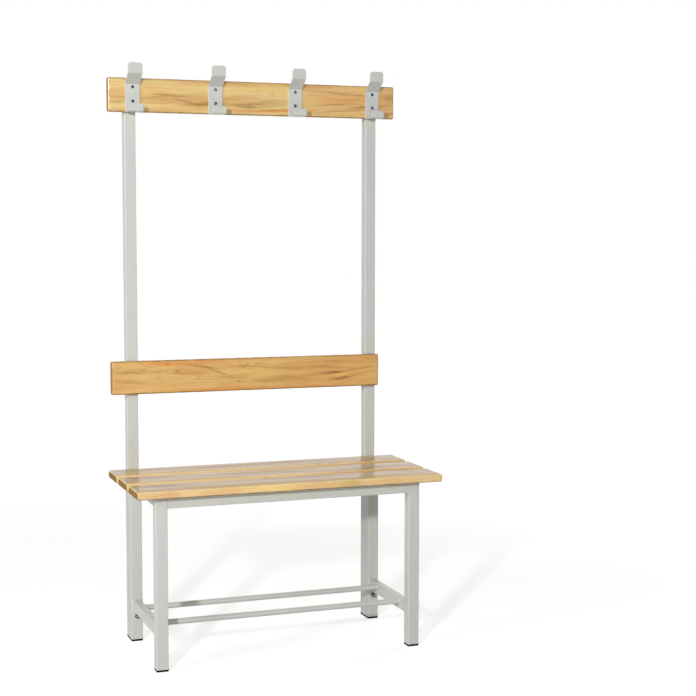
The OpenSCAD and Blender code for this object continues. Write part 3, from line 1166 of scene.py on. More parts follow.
RACK = PineFinish(
    name="varnished_pine_rack", shift=(3.1, 1.7, 0.4), heart=(0.0, -0.012, 0.055),
    waviness=0.02, contrast=0.6, cloud=0.7, top_edge=srgb(168, 116, 58),
    # The lower-edge colour is painted shade.
    low_edge_shade=srgb(112, 70, 30),
    knots=knots((7, 21, 2.2, 0.35), (46, 14, 2.6, 0.4), (158, 15, 1.6, 0.8),
                (-212, -2, 1.8, 0.6)),
    streaks=streaks(
        (-232, 2, 46, 2.6, 0.9, BROWN, -0.06), (-262, -2, 30, 3.4, 0.6, BROWN, 0.05),
        (-190, -12, 36, 2.6, 0.7, BROWN, -0.16), (-150, -20, 48, 3.2, 1.0),
        (-120, -14, 26, 3.4, 0.8), (-30, -22, 34, 4.0, 0.95),
        (-20, -15, 24, 3.0, 0.8, BROWN, 0.1), (20, -12, 60, 5.0, 0.5),
        (70, -28, 60, 2.4, 0.9, BROWN, 0.03), (0, 26, 120, 5, 0.3, GOLD),
        (-300, 10, 50, 8, 0.35, GOLD), (-60, -32, 130, 3.5, 0.5, ORANGE),
        (-140, -24, 50, 5, 0.6, OLIVE), (-40, -16, 60, 6, 0.5, OLIVE),
        (60, -30, 90, 4, 0.8, ORANGE, 0.03), (378, 4, 20, 12, 0.5, OLIVE),
        (190, 12, 46, 3.6, 0.5, ORANGE, -0.05), (230, 2, 90, 5.0, 0.5, ORANGE, 0.04),
        (250, -25, 100, 2.2, 0.6, BROWN, 0.07, 5), (368, -8, 24, 3.4, 0.6, BROWN, 0.1),
        # The wide orange band at the right end is partly painted shade: it darkens the board
        # towards its right end, and makes it more orange.
        (372, -28, 22, 3.0, 0.55), (290, 0, 150, 46, 0.38, ORANGE),
        (200, 24, 60, 3.0, 0.6, BROWN, -0.04), (280, 18, 50, 2.6, 0.6, BROWN, -0.06),
        (210, -10, 50, 2.4, 0.7, BROWN, 0.06), (300, -14, 44, 2.8, 0.7, BROWN, 0.08),
        (384, 16, 20, 8, 0.6), (384, -30, 22, 5, 0.6), (-372, -20, 22, 4.0, 0.5),
        (-290, 24, 40, 6, 0.25, ORANGE)))

BACKREST = PineFinish(
    name="varnished_pine_backrest", shift=(7.4, 4.2, 2.6), heart=(0.0, 0.016, 0.05),
    waviness=0.04, taper=0.02, contrast=0.68, cloud=0.85, early=srgb(226, 183, 104),
    late=srgb(176, 114, 38), warm=srgb(204, 142, 60),
    knots=knots((-223, 34, 2.4, 0.8), (-196, 15, 3.0, 0.75), (-142, -3, 2.4, 0.6),
                (-18, 22, 4.4, 0.4), (-29, -18, 2.4, 0.8), (-345, 6, 2.4, 0.5)),
    streaks=streaks(
        (-235, 34, 70, 6.0, 0.8, ORANGE, -0.02), (-128, 24, 40, 2.2, 0.8, BROWN, -0.14, 6),
        (-84, 8, 34, 2.4, 0.8, BROWN, -0.42, 6), (-28, -2, 70, 4.5, 0.7, OLIVE, 0.06),
        (-300, 18, 80, 7, 0.5, OLIVE, -0.06), (-150, 10, 60, 5, 0.5, OLIVE, -0.1),
        (110, -14, 90, 9, 0.55, OLIVE, 0.02), (-150, 38, 120, 3.5, 0.7, ORANGE, -0.01),
        (-80, -37, 160, 4, 0.7, ORANGE), (-40, -8, 44, 2.2, 0.6, BROWN, 0.02),
        (-180, 6, 60, 2.6, 0.5, BROWN, -0.1), (-330, 14, 40, 3.0, 0.5, BROWN, -0.08),
        (-320, -12, 50, 3.0, 0.4, BROWN, -0.1), (-200, -24, 60, 7.0, 0.35, ORANGE, 0.05),
        (20, 20, 50, 2.2, 0.55, BROWN, -0.08), (120, 12, 60, 3.0, 0.4, BROWN, -0.05),
        (60, -16, 70, 9.0, 0.35), (246, -3, 17, 2.6, 1.3, DARK, 0.02, 2),
        (232, -4, 44, 5.0, 0.8, BROWN, 0.02, 4), (266, -20, 22, 2.2, 1.3, DARK, 0.1, 3),
        (276, -15, 50, 4.0, 0.7, BROWN, 0.14), (318, 6, 40, 2.6, 0.9, BROWN, 0.12, 3),
        (262, -9, 26, 3.5, 0.9, GOLD, 0.03, 3), (230, 12, 60, 4.0, 0.5, BROWN, -0.06),
        # The wide orange band at the right end is partly painted shade: it darkens the board
        # towards its right end, and makes it more orange.
        (250, 28, 90, 5, 0.3, BROWN, -0.05), (310, 0, 150, 46, 0.3, ORANGE),
        (20, 0, 60, 12, 0.3, GOLD)))

# On the slats, the light upper-edge colour is a painted highlight on the rounded top edges, and
# the dark lower-edge colour is painted shade.
SLAT = PineFinish(
    lie=Lie.FLAT, waviness=0.014, taper=0.008, contrast=1.0, cloud=0.9,
    early=srgb(226, 189, 120), late=srgb(176, 114, 44), warm=srgb(206, 144, 66),
    top_edge=srgb(255, 228, 166), low_edge_shade=srgb(66, 42, 18), gold=srgb(255, 222, 122),
    orange=srgb(220, 142, 70), edge_amount=0.95, edge_coat=0.8, streak_coat=0.0,
    specular=0.0, coat=0.95)


def slat(name: str, shift: Place, heart: float, *rows: Sequence[Any]) -> PineFinish:
    """Figure of one seat slat.

    Args:
        name: Name of the slat.
        shift: Where its figure is read.
        heart: How far the heart line lies behind the slat's middle.
        rows: Its streaks, as rows.

    Returns:
        Its finish.
    """
    return replace(SLAT, name=f"varnished_pine_{name}", shift=shift,
                   heart=(0.0, heart, -0.06), streaks=streaks(*rows))


# On the slats, the pale streaks at -53 and -54 across lie on the front faces and are painted
# light: they lighten the faces that the front light falls on.
BOARDS = {
    "rack_board": RACK,
    "backrest_board": BACKREST,
    "seat_slat_front": slat(
        "seat_slat_front", (1.3, 8.8, 5.1), -0.01,
        (-140, -36, 195, 16, 0.9, GOLD), (210, -38, 221, 16, 0.9, GOLD),
        (0, -32, 104, 9, 0.7, ORANGE), (-330, -38, 90, 7, 0.6, ORANGE),
        (120, -20, 120, 6, 0.6, OLIVE), (-260, -6, 91, 10, 0.48, GOLD),
        (290, -12, 91, 9, 0.54, ORANGE), (70, 26, 143, 10, 0.48), (-320, 22, 65, 10, 0.54),
        (340, 30, 65, 8, 0.42), (-300, -53, 190, 10, 0.8, PALE), (0, -53, 200, 10, 0.8, PALE),
        (300, -53, 190, 10, 0.8, PALE), (-190, -52, 70, 7, 0.4, ORANGE),
        (60, -52, 80, 7, 0.4, ORANGE), (-50, -52, 60, 7, 0.5, GOLD),
        (150, -52, 30, 6, 0.5, OLIVE), (-320, -52, 30, 6, 0.4, ORANGE),
        (260, -52, 60, 7, 0.35, ORANGE)),
    "seat_slat_middle": slat(
        "seat_slat_middle", (5.9, 2.3, 7.7), 0.014,
        (-180, -36, 195, 12, 0.7, GOLD), (-60, 14, 117, 14, 0.48, ORANGE),
        (120, 32, 182, 10, 0.54, GOLD), (190, -30, 117, 10, 0.6, ORANGE),
        (-330, 24, 78, 10, 0.54), (282, -6, 78, 7, 0.6), (60, -12, 91, 7, 0.48),
        (362, -12, 44, 5, 0.6, BROWN, -0.5, 4), (-200, -52, 260, 9, 0.7, GOLD),
        (-240, -54, 230, 10, 0.75, PALE), (110, -54, 120, 9, 0.5, PALE),
        (240, -52, 110, 9, 0.5, ORANGE)),
    "seat_slat_rear": slat(
        "seat_slat_rear", (9.2, 6.6, 3.3), -0.018,
        (-90, 4, 143, 14, 0.54, ORANGE), (210, -30, 169, 11, 0.6, GOLD),
        (-270, -32, 169, 11, 0.6, GOLD), (70, 18, 130, 11, 0.42), (-300, 16, 78, 9, 0.48),
        (-220, -52, 220, 9, 0.7, GOLD), (-200, -54, 250, 10, 0.75, PALE),
        (220, -52, 180, 9, 0.5, ORANGE), (160, -54, 130, 9, 0.4, PALE))}


# Sub-assemblies


@dataclass
class PineBoards:
    """The backrest board, the rack board and the three seat slats."""

    maker: Maker
    board_radius: float = 5 * MM
    slat_radius: float = 4 * MM

    def build(self) -> None:
        """Build and dress the five boards."""
        for node, figure in BOARDS.items():
            low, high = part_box(node)
            radius = self.slat_radius if figure.lie is Lie.FLAT else self.board_radius
            finish = replace(figure, middle=tuple((low + high) / 2))
            self.maker.drawn(f"{node}_wood", board_sketch(low, high, radius), finish, [node])


@dataclass(frozen=True)
class WeldBead:
    """A ripple-surfaced weld along a path."""

    radius: float = 1.7 * MM
    ripple: float = 1.5 * MM
    step: float = 0.45 * MM
    sides: int = 10
    valley: float = 0.9
    swell: float = 0.12
    tip_steps: int = 4
    tip_start: float = 0.3

    def spaced(self, path: Sequence[Vector], closed: bool) -> list[Vector]:
        """Points at even steps along a path.

        Args:
            path: Corners of the path.
            closed: Join its end to its start.

        Returns:
            The points in turn.
        """
        corners = list(path) + ([path[0]] if closed else [])
        points: list[Vector] = []
        for start, stop in zip(corners, corners[1:]):
            count = max(1, round((stop - start).length / self.step))
            points += [start.lerp(stop, i / count) for i in range(count)]
        return points if closed else points + [corners[-1]]

    def sketch(self, path: Sequence[Vector], normal: Vector, closed: bool) -> Sketch:
        """Draw the bead.

        Args:
            path: Corners of its path, which lies in one plane.
            normal: Direction square to that plane.
            closed: Join its end to its start.

        Returns:
            The points and faces.
        """
        points = self.spaced(path, closed)
        final = len(points) - 1
        rings = []
        for i, point in enumerate(points):
            last, after = points[i - 1], points[(i + 1) % len(points)]
            size = self.radius * (self.valley + self.swell * (i * self.step / self.ripple % 1))
            if not closed:
                last, after = points[max(i - 1, 0)], points[min(i + 1, final)]
                tip = (min(i, final - i) + self.tip_start) / self.tip_steps
                size *= min(1.0, math.sqrt(tip))
            side = (after - last).normalized().cross(normal)
            rings.append([point + size * (a * side + b * normal)
                          for a, b in circle_outline(1.0, self.sides)])
        return loft(rings, loop=closed)


@dataclass
class SteelFrame:
    """Legs, uprights, rails and stretchers of steel tube, with their welds."""

    maker: Maker
    finish: Finish = PAINT
    corner_radius: float = 2 * MM
    wall: float = 1.5 * MM
    bead: WeldBead = WeldBead()
    weld_drop: float = 4 * MM
    weld_turn: float = 2 * MM

    def tubes(self) -> dict[str, int]:
        """Axis of each straight tube.

        Returns:
            The number of the axis by the name of the tube.
        """
        axes = {"front_rail": 0, "rear_rail": 0}
        for side in SIDES:
            axes |= {f"front_leg_{side}": 2, f"rear_leg_{side}": 2, f"upright_{side}": 2,
                     f"side_rail_{side}": 1, f"stretcher_{side}": 1}
        return axes

    def around(self, node: str, axis: int, at: float, open_top: bool) -> Sketch:
        """Weld bead round the end of a flat tube.

        Args:
            node: Name of the tube.
            axis: Axis that the tube runs along.
            at: Position of the joint on that axis.
            open_top: Leave out the top side, where something lies on the tube.

        Returns:
            The points and faces.
        """
        low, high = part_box(node)
        width, depth = (size for i, size in enumerate(high - low) if i != axis)
        outline = rounded_outline(width, depth, self.corner_radius, 3)
        if open_top:
            top = depth / 2 - self.weld_drop
            below = [point for point in outline if point[1] < top]
            outline = [(-width / 2, top), *below, (width / 2, top)]
        path = ring_at(axis, at, outline, (low + high) / 2)
        return self.bead.sketch(path, AXES[axis], not open_top)

    def welds(self) -> None:
        """Build the welds of the rails and stretchers."""
        for side in SIDES:
            for node, open_top in ((f"side_rail_{side}", True), (f"stretcher_{side}", False)):
                low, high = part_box(node)
                for end, at in (("front", low.y), ("rear", high.y)):
                    sketch = self.around(node, 1, at, open_top)
                    self.maker.drawn(f"weld_{node}_{end}", sketch, self.finish)
        for node, way in (("front_rail", -1), ("rear_rail", 1)):
            low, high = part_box(node)
            inner, outer = (high.y, low.y) if way < 0 else (low.y, high.y)
            for end, at in (("left", low.x), ("right", high.x)):
                path = [Vector((at, inner, high.z - self.weld_drop)), Vector((at, inner, low.z)),
                        Vector((at, outer - way * self.weld_turn, low.z))]
                sketch = self.bead.sketch(path, AXES[0], False)
                self.maker.drawn(f"weld_{node}_{end}", sketch, self.finish)

    def build(self) -> None:
        """Build and dress the tubes and welds."""
        for node, axis in self.tubes().items():
            sketch = tube_sketch(*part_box(node), axis, self.corner_radius, self.wall)
            self.maker.drawn(f"{node}_tube", sketch, self.finish, [node])
        self.welds()


@dataclass
class ShoeRack:
    """The two round shoe bars with their weld rings."""

    maker: Maker
    finish: Finish = PAINT
    wall: float = 1.2 * MM
    bead: WeldBead = WeldBead(radius=1.5 * MM)
    ring_steps: int = 36

    def build(self) -> None:
        """Build and dress the bars and their rings."""
        for node in ("shoe_bar_front", "shoe_bar_rear"):
            low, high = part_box(node)
            middle, radius = (low + high) / 2, (high.z - low.z) / 2
            outer, inner = circle_outline(radius), circle_outline(radius - self.wall)
            rings = [ring_at(0, x, outline, middle)
                     for x, outline in ((low.x, outer), (high.x, outer), (high.x, inner),
                                        (low.x, inner))]
            self.maker.drawn(f"{node}_tube", loft(rings, loop=True), self.finish, [node], ())
            for end, x in (("left", low.x), ("right", high.x)):
                path = ring_at(0, x, circle_outline(radius, self.ring_steps), middle)
                sketch = self.bead.sketch(path, AXES[0], True)
                self.maker.drawn(f"weld_{node}_{end}", sketch, self.finish)


@dataclass
class CoatHooks:
    """Four double coat hooks, each bent from one steel strip."""

    maker: Maker
    finish: Finish = PAINT
    thickness: float = 2.5 * MM
    bend_radius: float = 4.25 * MM
    upper_reach: float = 35 * MM
    rise: float = 26.25 * MM
    upper_tip: float = 24.75 * MM
    upper_corner: float = 8 * MM
    lower_corner: float = 6 * MM
    lower_tip: float = 20 * MM
    fillet: float = 0.5 * MM
    least_fillet: float = 0.05 * MM
    fillet_steps: int = 3
    corner_steps: int = 10
    far: float = 1.0

    def corners(self, low: Vector, high: Vector) -> list[Vector]:
        """Corners of the strip's middle line, before its bends are rounded.

        Args:
            low: Lowest corner of the hook's box.
            high: Highest corner of the hook's box.

        Returns:
            The corners in the YZ plane, from the lower tip to the upper one.
        """
        half = self.thickness / 2
        slope = math.atan2(self.rise, self.upper_reach)
        fold = high.z - self.upper_tip - self.rise

        def on_slope(forward: float) -> float:
            """Height of the sloping prong's middle line."""
            return fold + forward * math.tan(slope) - half / math.cos(slope)

        front, back = low.y + half, high.y - half
        tip = high.y - self.upper_reach - half
        return [Vector((0, front, low.z + self.lower_tip)), Vector((0, front, low.z + half)),
                Vector((0, back, low.z + half)), Vector((0, back, on_slope(half))),
                Vector((0, tip, on_slope(self.upper_reach + half))), Vector((0, tip, high.z))]

    def middle_line(self, corners: Sequence[Vector], steps: int = 8) -> list[Vector]:
        """Round the bends of the middle line.

        Args:
            corners: The line's corners.
            steps: Steps of each bend.

        Returns:
            The points of the line in turn.
        """
        points = [corners[0]]
        for before, corner, after in zip(corners, corners[1:], corners[2:]):
            inwards, outwards = (before - corner).normalized(), (after - corner).normalized()
            half_turn = (math.pi - inwards.angle(outwards)) / 2
            trim = self.bend_radius * math.tan(half_turn)
            centre = corner + (inwards + outwards).normalized() * (
                self.bend_radius / math.cos(half_turn))
            start = (corner + inwards * trim - centre).normalized()
            stop = (corner + outwards * trim - centre).normalized()
            for step in range(steps + 1):
                points.append(centre + self.bend_radius * start.slerp(stop, step / steps))
        return points + [corners[-1]]

    def with_tips(self, line: list[Vector]) -> list[tuple[Vector, float, float]]:
        """Add the stations that round the two tips.

        Args:
            line: The middle line.

        Returns:
            Each station's point, its distance from the nearer tip and that tip's corner radius.
        """
        stations = [(point, self.far, self.upper_corner) for point in line[1:-1]]
        fine, coarse = self.fillet_steps, self.corner_steps
        for end, inner, radius in ((line[0], line[1], self.lower_corner),
                                   (line[-1], line[-2], self.upper_corner)):
            steps = {self.fillet * (1 - math.cos(math.pi / 2 * k / fine)) for k in range(fine + 1)}
            steps |= {radius * (1 - math.cos(math.pi / 2 * k / coarse))
                      for k in range(2, coarse + 1)}
            direction = (inner - end).normalized()
            tip = [(end + direction * away, away, radius) for away in sorted(steps)]
            stations = tip + stations if radius == self.lower_corner else stations + tip[::-1]
        return stations

    def sketch(self, low: Vector, high: Vector) -> Sketch:
        """Draw one hook.

        Args:
            low: Lowest corner of the hook's box.
            high: Highest corner of the hook's box.

        Returns:
            The points and faces.
        """

        def fall(radius: float, away: float) -> float:
            """Inset of a rounding at a distance from the tip."""
            return radius - math.sqrt(max(0, radius ** 2 - max(0, radius - away) ** 2))

        stations = self.with_tips(self.middle_line(self.corners(low, high)))
        centre, width = (low.x + high.x) / 2, high.x - low.x
        rings = []
        for i, (point, away, radius) in enumerate(stations):
            before = stations[max(i - 1, 0)][0]
            after = stations[min(i + 1, len(stations) - 1)][0]
            face = (after - before).normalized().cross(AXES[0])
            narrow, inset = fall(radius, away), fall(self.fillet, away)
            outline = rounded_outline(width - 2 * (narrow + inset), self.thickness - 2 * inset,
                                      max(self.fillet - inset, self.least_fillet), 3)
            rings.append([point + AXES[0] * (centre + a) + face * b for a, b in outline])
        return loft(rings)

    def build(self) -> None:
        """Build and dress the four hooks."""
        slope = math.atan2(self.rise, self.upper_reach)
        flats = (*AXES, Vector((0, math.sin(slope), math.cos(slope))))
        for number in range(1, 5):
            node = f"coat_hook_{number}"
            sketch = self.sketch(*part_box(node))
            self.maker.drawn(f"{node}_strip", sketch, self.finish, [node], flats)


@dataclass
class TubeInserts:
    """Plastic feet and caps in the tubes' ends."""

    maker: Maker
    finish: Finish = PLASTIC
    corner_radius: float = 2 * MM
    plate_foot: float = 5 * MM
    plate_cap: float = 3 * MM
    rim: tuple[tuple[float, float], ...] = ((0, 0.5 * MM), (0.2 * MM, 0.15 * MM), (0.5 * MM, 0))
    back_chamfer: float = 0.1 * MM
    stem_inset: float = 1.7 * MM
    stem_wall: float = 2 * MM
    stem_radius: float = 1.2 * MM
    bore_radius: float = 0.6 * MM
    stem_root: float = 0.6

    def sketch(self, low: Vector, high: Vector, plate: float, up: bool) -> Sketch:
        """Draw one insert.

        Args:
            low: Lowest corner of its box.
            high: Highest corner of its box.
            plate: Height of its visible plate.
            up: Its stem points up.

        Returns:
            The points and faces.
        """
        middle, width = (low + high) / 2, high.x - low.x

        def ring(level: float, inset: float, radius: float, steps: int) -> list[Vector]:
            """Square ring at a distance from the plate's outer face."""
            side, at = width - 2 * inset, low.z + level if up else high.z - level
            return ring_at(2, at, rounded_outline(side, side, radius, steps), middle)

        levels = (*self.rim, (plate - self.back_chamfer, 0), (plate, self.back_chamfer))
        plate_rings = [ring(level, inset, self.corner_radius, 6) for level, inset in levels]
        root, top = plate * self.stem_root, high.z - low.z
        outer = (self.stem_inset, self.stem_radius, 4)
        bore = (self.stem_inset + self.stem_wall, self.bore_radius, 4)
        stem_rings = [ring(level, *wall)
                      for level, wall in ((root, outer), (top, outer), (top, bore), (root, bore))]
        return joined(loft(plate_rings), loft(stem_rings, loop=True))

    def put(self, node: str, plate: float, up: bool) -> None:
        """Build and dress the insert that stands for a node."""
        sketch = self.sketch(*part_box(node), plate, up)
        self.maker.drawn(f"{node}_moulding", sketch, self.finish, [node])

    def build(self) -> None:
        """Build and dress the feet and caps."""
        for side in SIDES:
            for place in ("front", "rear", "upright"):
                self.put(f"foot_{place}_{side}", self.plate_foot, True)
            self.put(f"upright_cap_{side}", self.plate_cap, False)


@dataclass(frozen=True)
class DomedScrew:
    """Domed screw with a cross recess; its head's seat is at z = 0 and it points up."""

    head: float
    height: float
    shank: float
    length: float
    centre_radius: float = 0.01 * MM
    dome_steps: int = 10
    turn_steps: int = 36
    arm_share: float = 0.095
    reach_share: float = 0.3
    recess_share: float = 0.66
    recess_taper: tuple[float, float] = (0.45, 1.15)
    least_arm: float = 0.8
    tip_share: float = 0.3
    tip_length: float = 0.5
    pit_depth: float = 0.4 * MM

    def dome(self) -> float:
        """Radius of the sphere that the head is cut from."""
        return (self.head ** 2 / 4 + self.height ** 2) / (2 * self.height)

    def blank(self) -> Sketch:
        """Draw the screw before its recess is cut.

        Returns:
            The points and faces.
        """
        radius, shank = self.dome(), self.shank
        profile = [(self.centre_radius, -self.length),
                   (shank * self.tip_share, shank * self.tip_length - self.length),
                   (shank / 2, shank - self.length), (shank / 2, 0.0)]
        slope = math.asin(min(1.0, self.head / 2 / radius))
        for step in range(self.dome_steps, -1, -1):
            angle = slope * step / self.dome_steps
            profile.append((max(radius * math.sin(angle), self.centre_radius),
                            self.height - radius + radius * math.cos(angle)))
        return revolve(profile, self.turn_steps)

    def bars(self) -> list[Sketch]:
        """Draw the two tapered bars that cut the cross recess.

        Returns:
            The points and faces of each.
        """
        arm, reach = self.head * self.arm_share, self.head * self.reach_share
        levels = (self.height * (1 - self.recess_share), self.height + MM)
        least, bars = arm * self.least_arm, []
        for long, short in ((reach, arm), (arm, reach)):
            rings = []
            for at, share in zip(levels, self.recess_taper):
                wide, deep = max(long * share, least), max(short * share, least)
                rings.append([Vector((a * wide, b * deep, at))
                              for a, b in ((1, 1), (-1, 1), (-1, -1), (1, -1))])
            bars.append(loft(rings))
        return bars

    def build(self, name: str, maker: Maker) -> bpy.types.Mesh:
        """Build the mesh of the screw.

        Args:
            name: Name of the mesh.
            maker: Makes its parts.

        Returns:
            The mesh, with the mask of its recess.
        """
        mesh = maker.mesh(f"{name}_blank", self.blank())
        for number, bar in enumerate(self.bars()):
            mesh = carved(mesh, maker.mesh(f"{name}_recess_{number}", bar))
        mesh.name = name
        mesh.shade_smooth()
        mesh.set_sharp_from_angle(angle=SHARP_ANGLE)
        radius = self.dome()
        centre = Vector((0, 0, self.height - radius))
        # The pit mask carries the painted shade in the recess.
        masked(mesh, "pit", lambda point: (radius - (point.co - centre).length) / self.pit_depth
               if point.co.z > 0 else 0.0)
        return mesh


HOOK_SCREW = DomedScrew(head=8.5 * MM, height=2.8 * MM, shank=4 * MM, length=15 * MM)
WOOD_SCREW = DomedScrew(head=9 * MM, height=3 * MM, shank=4.5 * MM, length=40 * MM)


@dataclass
class Fasteners:
    """Screws, bolts, washers and nuts."""

    maker: Maker
    finish: Finish = ZINC
    flats: float = 10 * MM
    shoulder: float = 0.95
    chamfer: float = math.radians(30)
    bolt_head: float = 4 * MM
    bolt: float = 6 * MM
    bolt_length: float = 30 * MM
    nut: float = 5 * MM
    nut_dome: float = 0.92
    dome_tip: float = 0.01
    washer: float = 12 * MM
    washer_thickness: float = 1.2 * MM
    washer_play: float = 0.25 * MM
    washer_bevel: float = 0.2 * MM
    hook_plate: float = 2.5 * MM
    merge_distance: float = 1e-6

    def hexagon(self, height: float, dome: float) -> Sketch:
        """Hexagonal head or nut with a turned chamfer, from z = 0 up.

        Args:
            height: Height of the hexagon.
            dome: Radius of the dome on top; none where it is 0.

        Returns:
            The points and faces.
        """
        steps, dome_steps, inner = 60, 12, self.flats / 2 * self.shoulder
        base, wall, shoulder = [], [], []
        for i in range(steps):
            angle = 2 * math.pi * i / steps
            radius = self.flats / 2 / math.cos((angle + math.pi / 6) % (math.pi / 3) - math.pi / 6)
            drop = (radius - inner) * math.tan(self.chamfer)
            direction = Vector((math.cos(angle), math.sin(angle), 0))
            base.append(direction * radius)
            wall.append(direction * radius + Vector((0, 0, height - drop)))
            shoulder.append(direction * inner + Vector((0, 0, height)))
        rings = [base, wall, shoulder]
        for step in range(dome_steps + 1 if dome else 0):
            angle = math.pi / 2 * step / dome_steps
            share = dome / inner * max(math.cos(angle), self.dome_tip)
            level = height + dome * math.sin(angle)
            rings.append([Vector((point.x * share, point.y * share, level)) for point in shoulder])
        return loft(rings)

    def centres(self, node: str) -> list[Vector]:
        """Middles of the separate solids of a node.

        Args:
            node: Name of the node.

        Returns:
            The middle of each solid's box.
        """
        shape = bmesh.new()
        shape.from_mesh(bpy.data.objects[node].data)
        bmesh.ops.remove_doubles(shape, verts=shape.verts, dist=self.merge_distance)
        left = set(shape.verts)
        middles = []
        while left:
            group, queue = set(), [left.pop()]
            while queue:
                vertex = queue.pop()
                group.add(vertex)
                for edge in vertex.link_edges:
                    other = edge.other_vert(vertex)
                    if other in left:
                        left.discard(other)
                        queue.append(other)
            spans = [(min(v.co[i] for v in group), max(v.co[i] for v in group)) for i in range(3)]
            middles.append(Vector([(low + high) / 2 for low, high in spans]))
        shape.free()
        return sorted(middles, key=lambda m: (round(m.x, 4), round(m.y, 4), round(m.z, 4)))

    def row(self, node: str, mesh: bpy.types.Mesh, out: Vector, levels: Sequence[float],
            spin: float = 0.0, more: float = 0.0) -> None:
        """Put the fasteners of a node in place.

        Args:
            node: Node that they stand for.
            mesh: Mesh of each.
            out: Axis direction that their heads point in.
            levels: Levels of their seats on that axis; each takes the nearest.
            spin: Turn of the first about its own axis.
            more: Turn that is added for each next one.
        """
        turn = out.to_track_quat("Z", "Y").to_matrix().to_4x4()
        axis = max(range(3), key=lambda i: abs(out[i]))
        for number, seat in enumerate(self.centres(node)):
            seat[axis] = min((abs(level - seat[axis]), level) for level in levels)[1]
            spun = turn @ Matrix.Rotation(spin + more * number, 4, "Z")
            self.maker.piece(f"{node[:-1]}_{number + 1}", mesh, self.finish, [node],
                             Matrix.Translation(seat) @ spun)

    def screws(self, rear: float) -> None:
        """Build and dress the hook, slat and board screws.

        Args:
            rear: Level of the uprights' rear faces.
        """
        hook = HOOK_SCREW.build("hook_screw_shape", self.maker)
        wood = WOOD_SCREW.build("wood_screw_shape", self.maker)
        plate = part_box("rack_board")[0].y - self.hook_plate
        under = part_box("side_rail_left")[0].z
        self.row("hook_screws", hook, FRONT, [plate], spin=0.4, more=1.1)
        self.row("slat_screws", wood, DOWN, [under], more=0.7)
        for node in ("backrest_screws", "rack_screws"):
            self.row(node, wood, BACK, [rear], more=0.9)

    def bolts(self, rear: float) -> None:
        """Build and dress the bolts, washers and nuts.

        Args:
            rear: Level of the uprights' rear faces.
        """
        shaft = [[Vector((a, b, z)) for a, b in circle_outline(self.bolt / 2, 24)]
                 for z in (-self.bolt_length, MM)]
        head = self.hexagon(self.bolt_head, 0.0)
        bolt = self.maker.mesh("hex_bolt_shape", joined(head, loft(shaft)))
        domed = self.hexagon(self.nut, self.flats / 2 * self.nut_dome)
        nut = self.maker.mesh("dome_nut_shape", domed)
        hole, rim = self.bolt / 2 + self.washer_play, self.washer / 2
        thick, bevel = self.washer_thickness, self.washer_bevel
        profile = [(hole, 0), (rim - bevel, 0), (rim, bevel), (rim, thick - bevel),
                   (rim - bevel, thick), (hole, thick)]
        ring = self.maker.mesh("washer_shape", revolve(profile))
        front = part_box("rear_leg_left")[0].y - thick
        for node in ("lower_bolts", "upper_bolts"):
            self.row(node, bolt, BACK, [rear + thick], spin=0.35, more=0.8)
        self.row("bolt_washers", ring, BACK, [rear, front])
        self.row("dome_nuts", nut, FRONT, [front], spin=0.2, more=0.5)

    def build(self, nodes: dict[str, bpy.types.Object]) -> None:
        """Build all fasteners and dress the nuts that are welded inside the legs.

        Args:
            nodes: The frame's own objects by name.
        """
        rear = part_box("upright_left")[1].y
        self.screws(rear)
        self.bolts(rear)
        inside = nodes["weld_nuts"]
        inside.data.materials.clear()
        inside.data.materials.append(self.finish.material())
        LOG.info("weld_nuts: kept, slot %s", self.finish.slot.value)


# Studio


@dataclass
class PhotoCamera:
    """Camera at the photograph's place, with its viewing angle."""

    place: Place = (-1.151366, -3.684419, 1.102868)
    yaw: float = 20.281
    pitch: float = -4.8005
    roll: float = 0.104
    lens: float = 77.0426
    sensor: float = 36.0
    reach: float = 60.0

    def build(self) -> None:
        """Build the camera and make it the scene's own."""
        yaw, pitch, roll = (math.radians(v) for v in (self.yaw, self.pitch, self.roll))
        forward = Vector((math.sin(yaw) * math.cos(pitch), math.cos(yaw) * math.cos(pitch),
                          math.sin(pitch)))
        right = Vector((math.cos(yaw), -math.sin(yaw), 0))
        up = right.cross(forward)
        turned = math.cos(roll) * right + math.sin(roll) * up
        upright = math.cos(roll) * up - math.sin(roll) * right
        data = bpy.data.cameras.new("photo_camera")
        data.lens, data.sensor_width, data.clip_end = self.lens, self.sensor, self.reach
        camera = bpy.data.objects.new("photo_camera", data)
        bpy.context.scene.collection.objects.link(camera)
        columns = Matrix((turned, upright, -forward)).transposed().to_4x4()
        camera.matrix_world = Matrix.Translation(self.place) @ columns
        bpy.context.scene.camera = camera


@dataclass(frozen=True)
class Lamp:
    """A round soft lamp."""

    name: str
    place: Place
    size: float
    power: float

    def build(self, aim: Vector) -> None:
        """Build the lamp.

        Args:
            aim: Point that it shines at.
        """
        data = bpy.data.lights.new(self.name, "AREA")
        data.shape = "DISK"
        data.size, data.energy = self.size, self.power
        item = bpy.data.objects.new(self.name, data)
        bpy.context.scene.collection.objects.link(item)
        place = Vector(self.place)
        turn = (place - aim).to_track_quat("Z", "Y").to_matrix().to_4x4()
        item.matrix_world = Matrix.Translation(place) @ turn


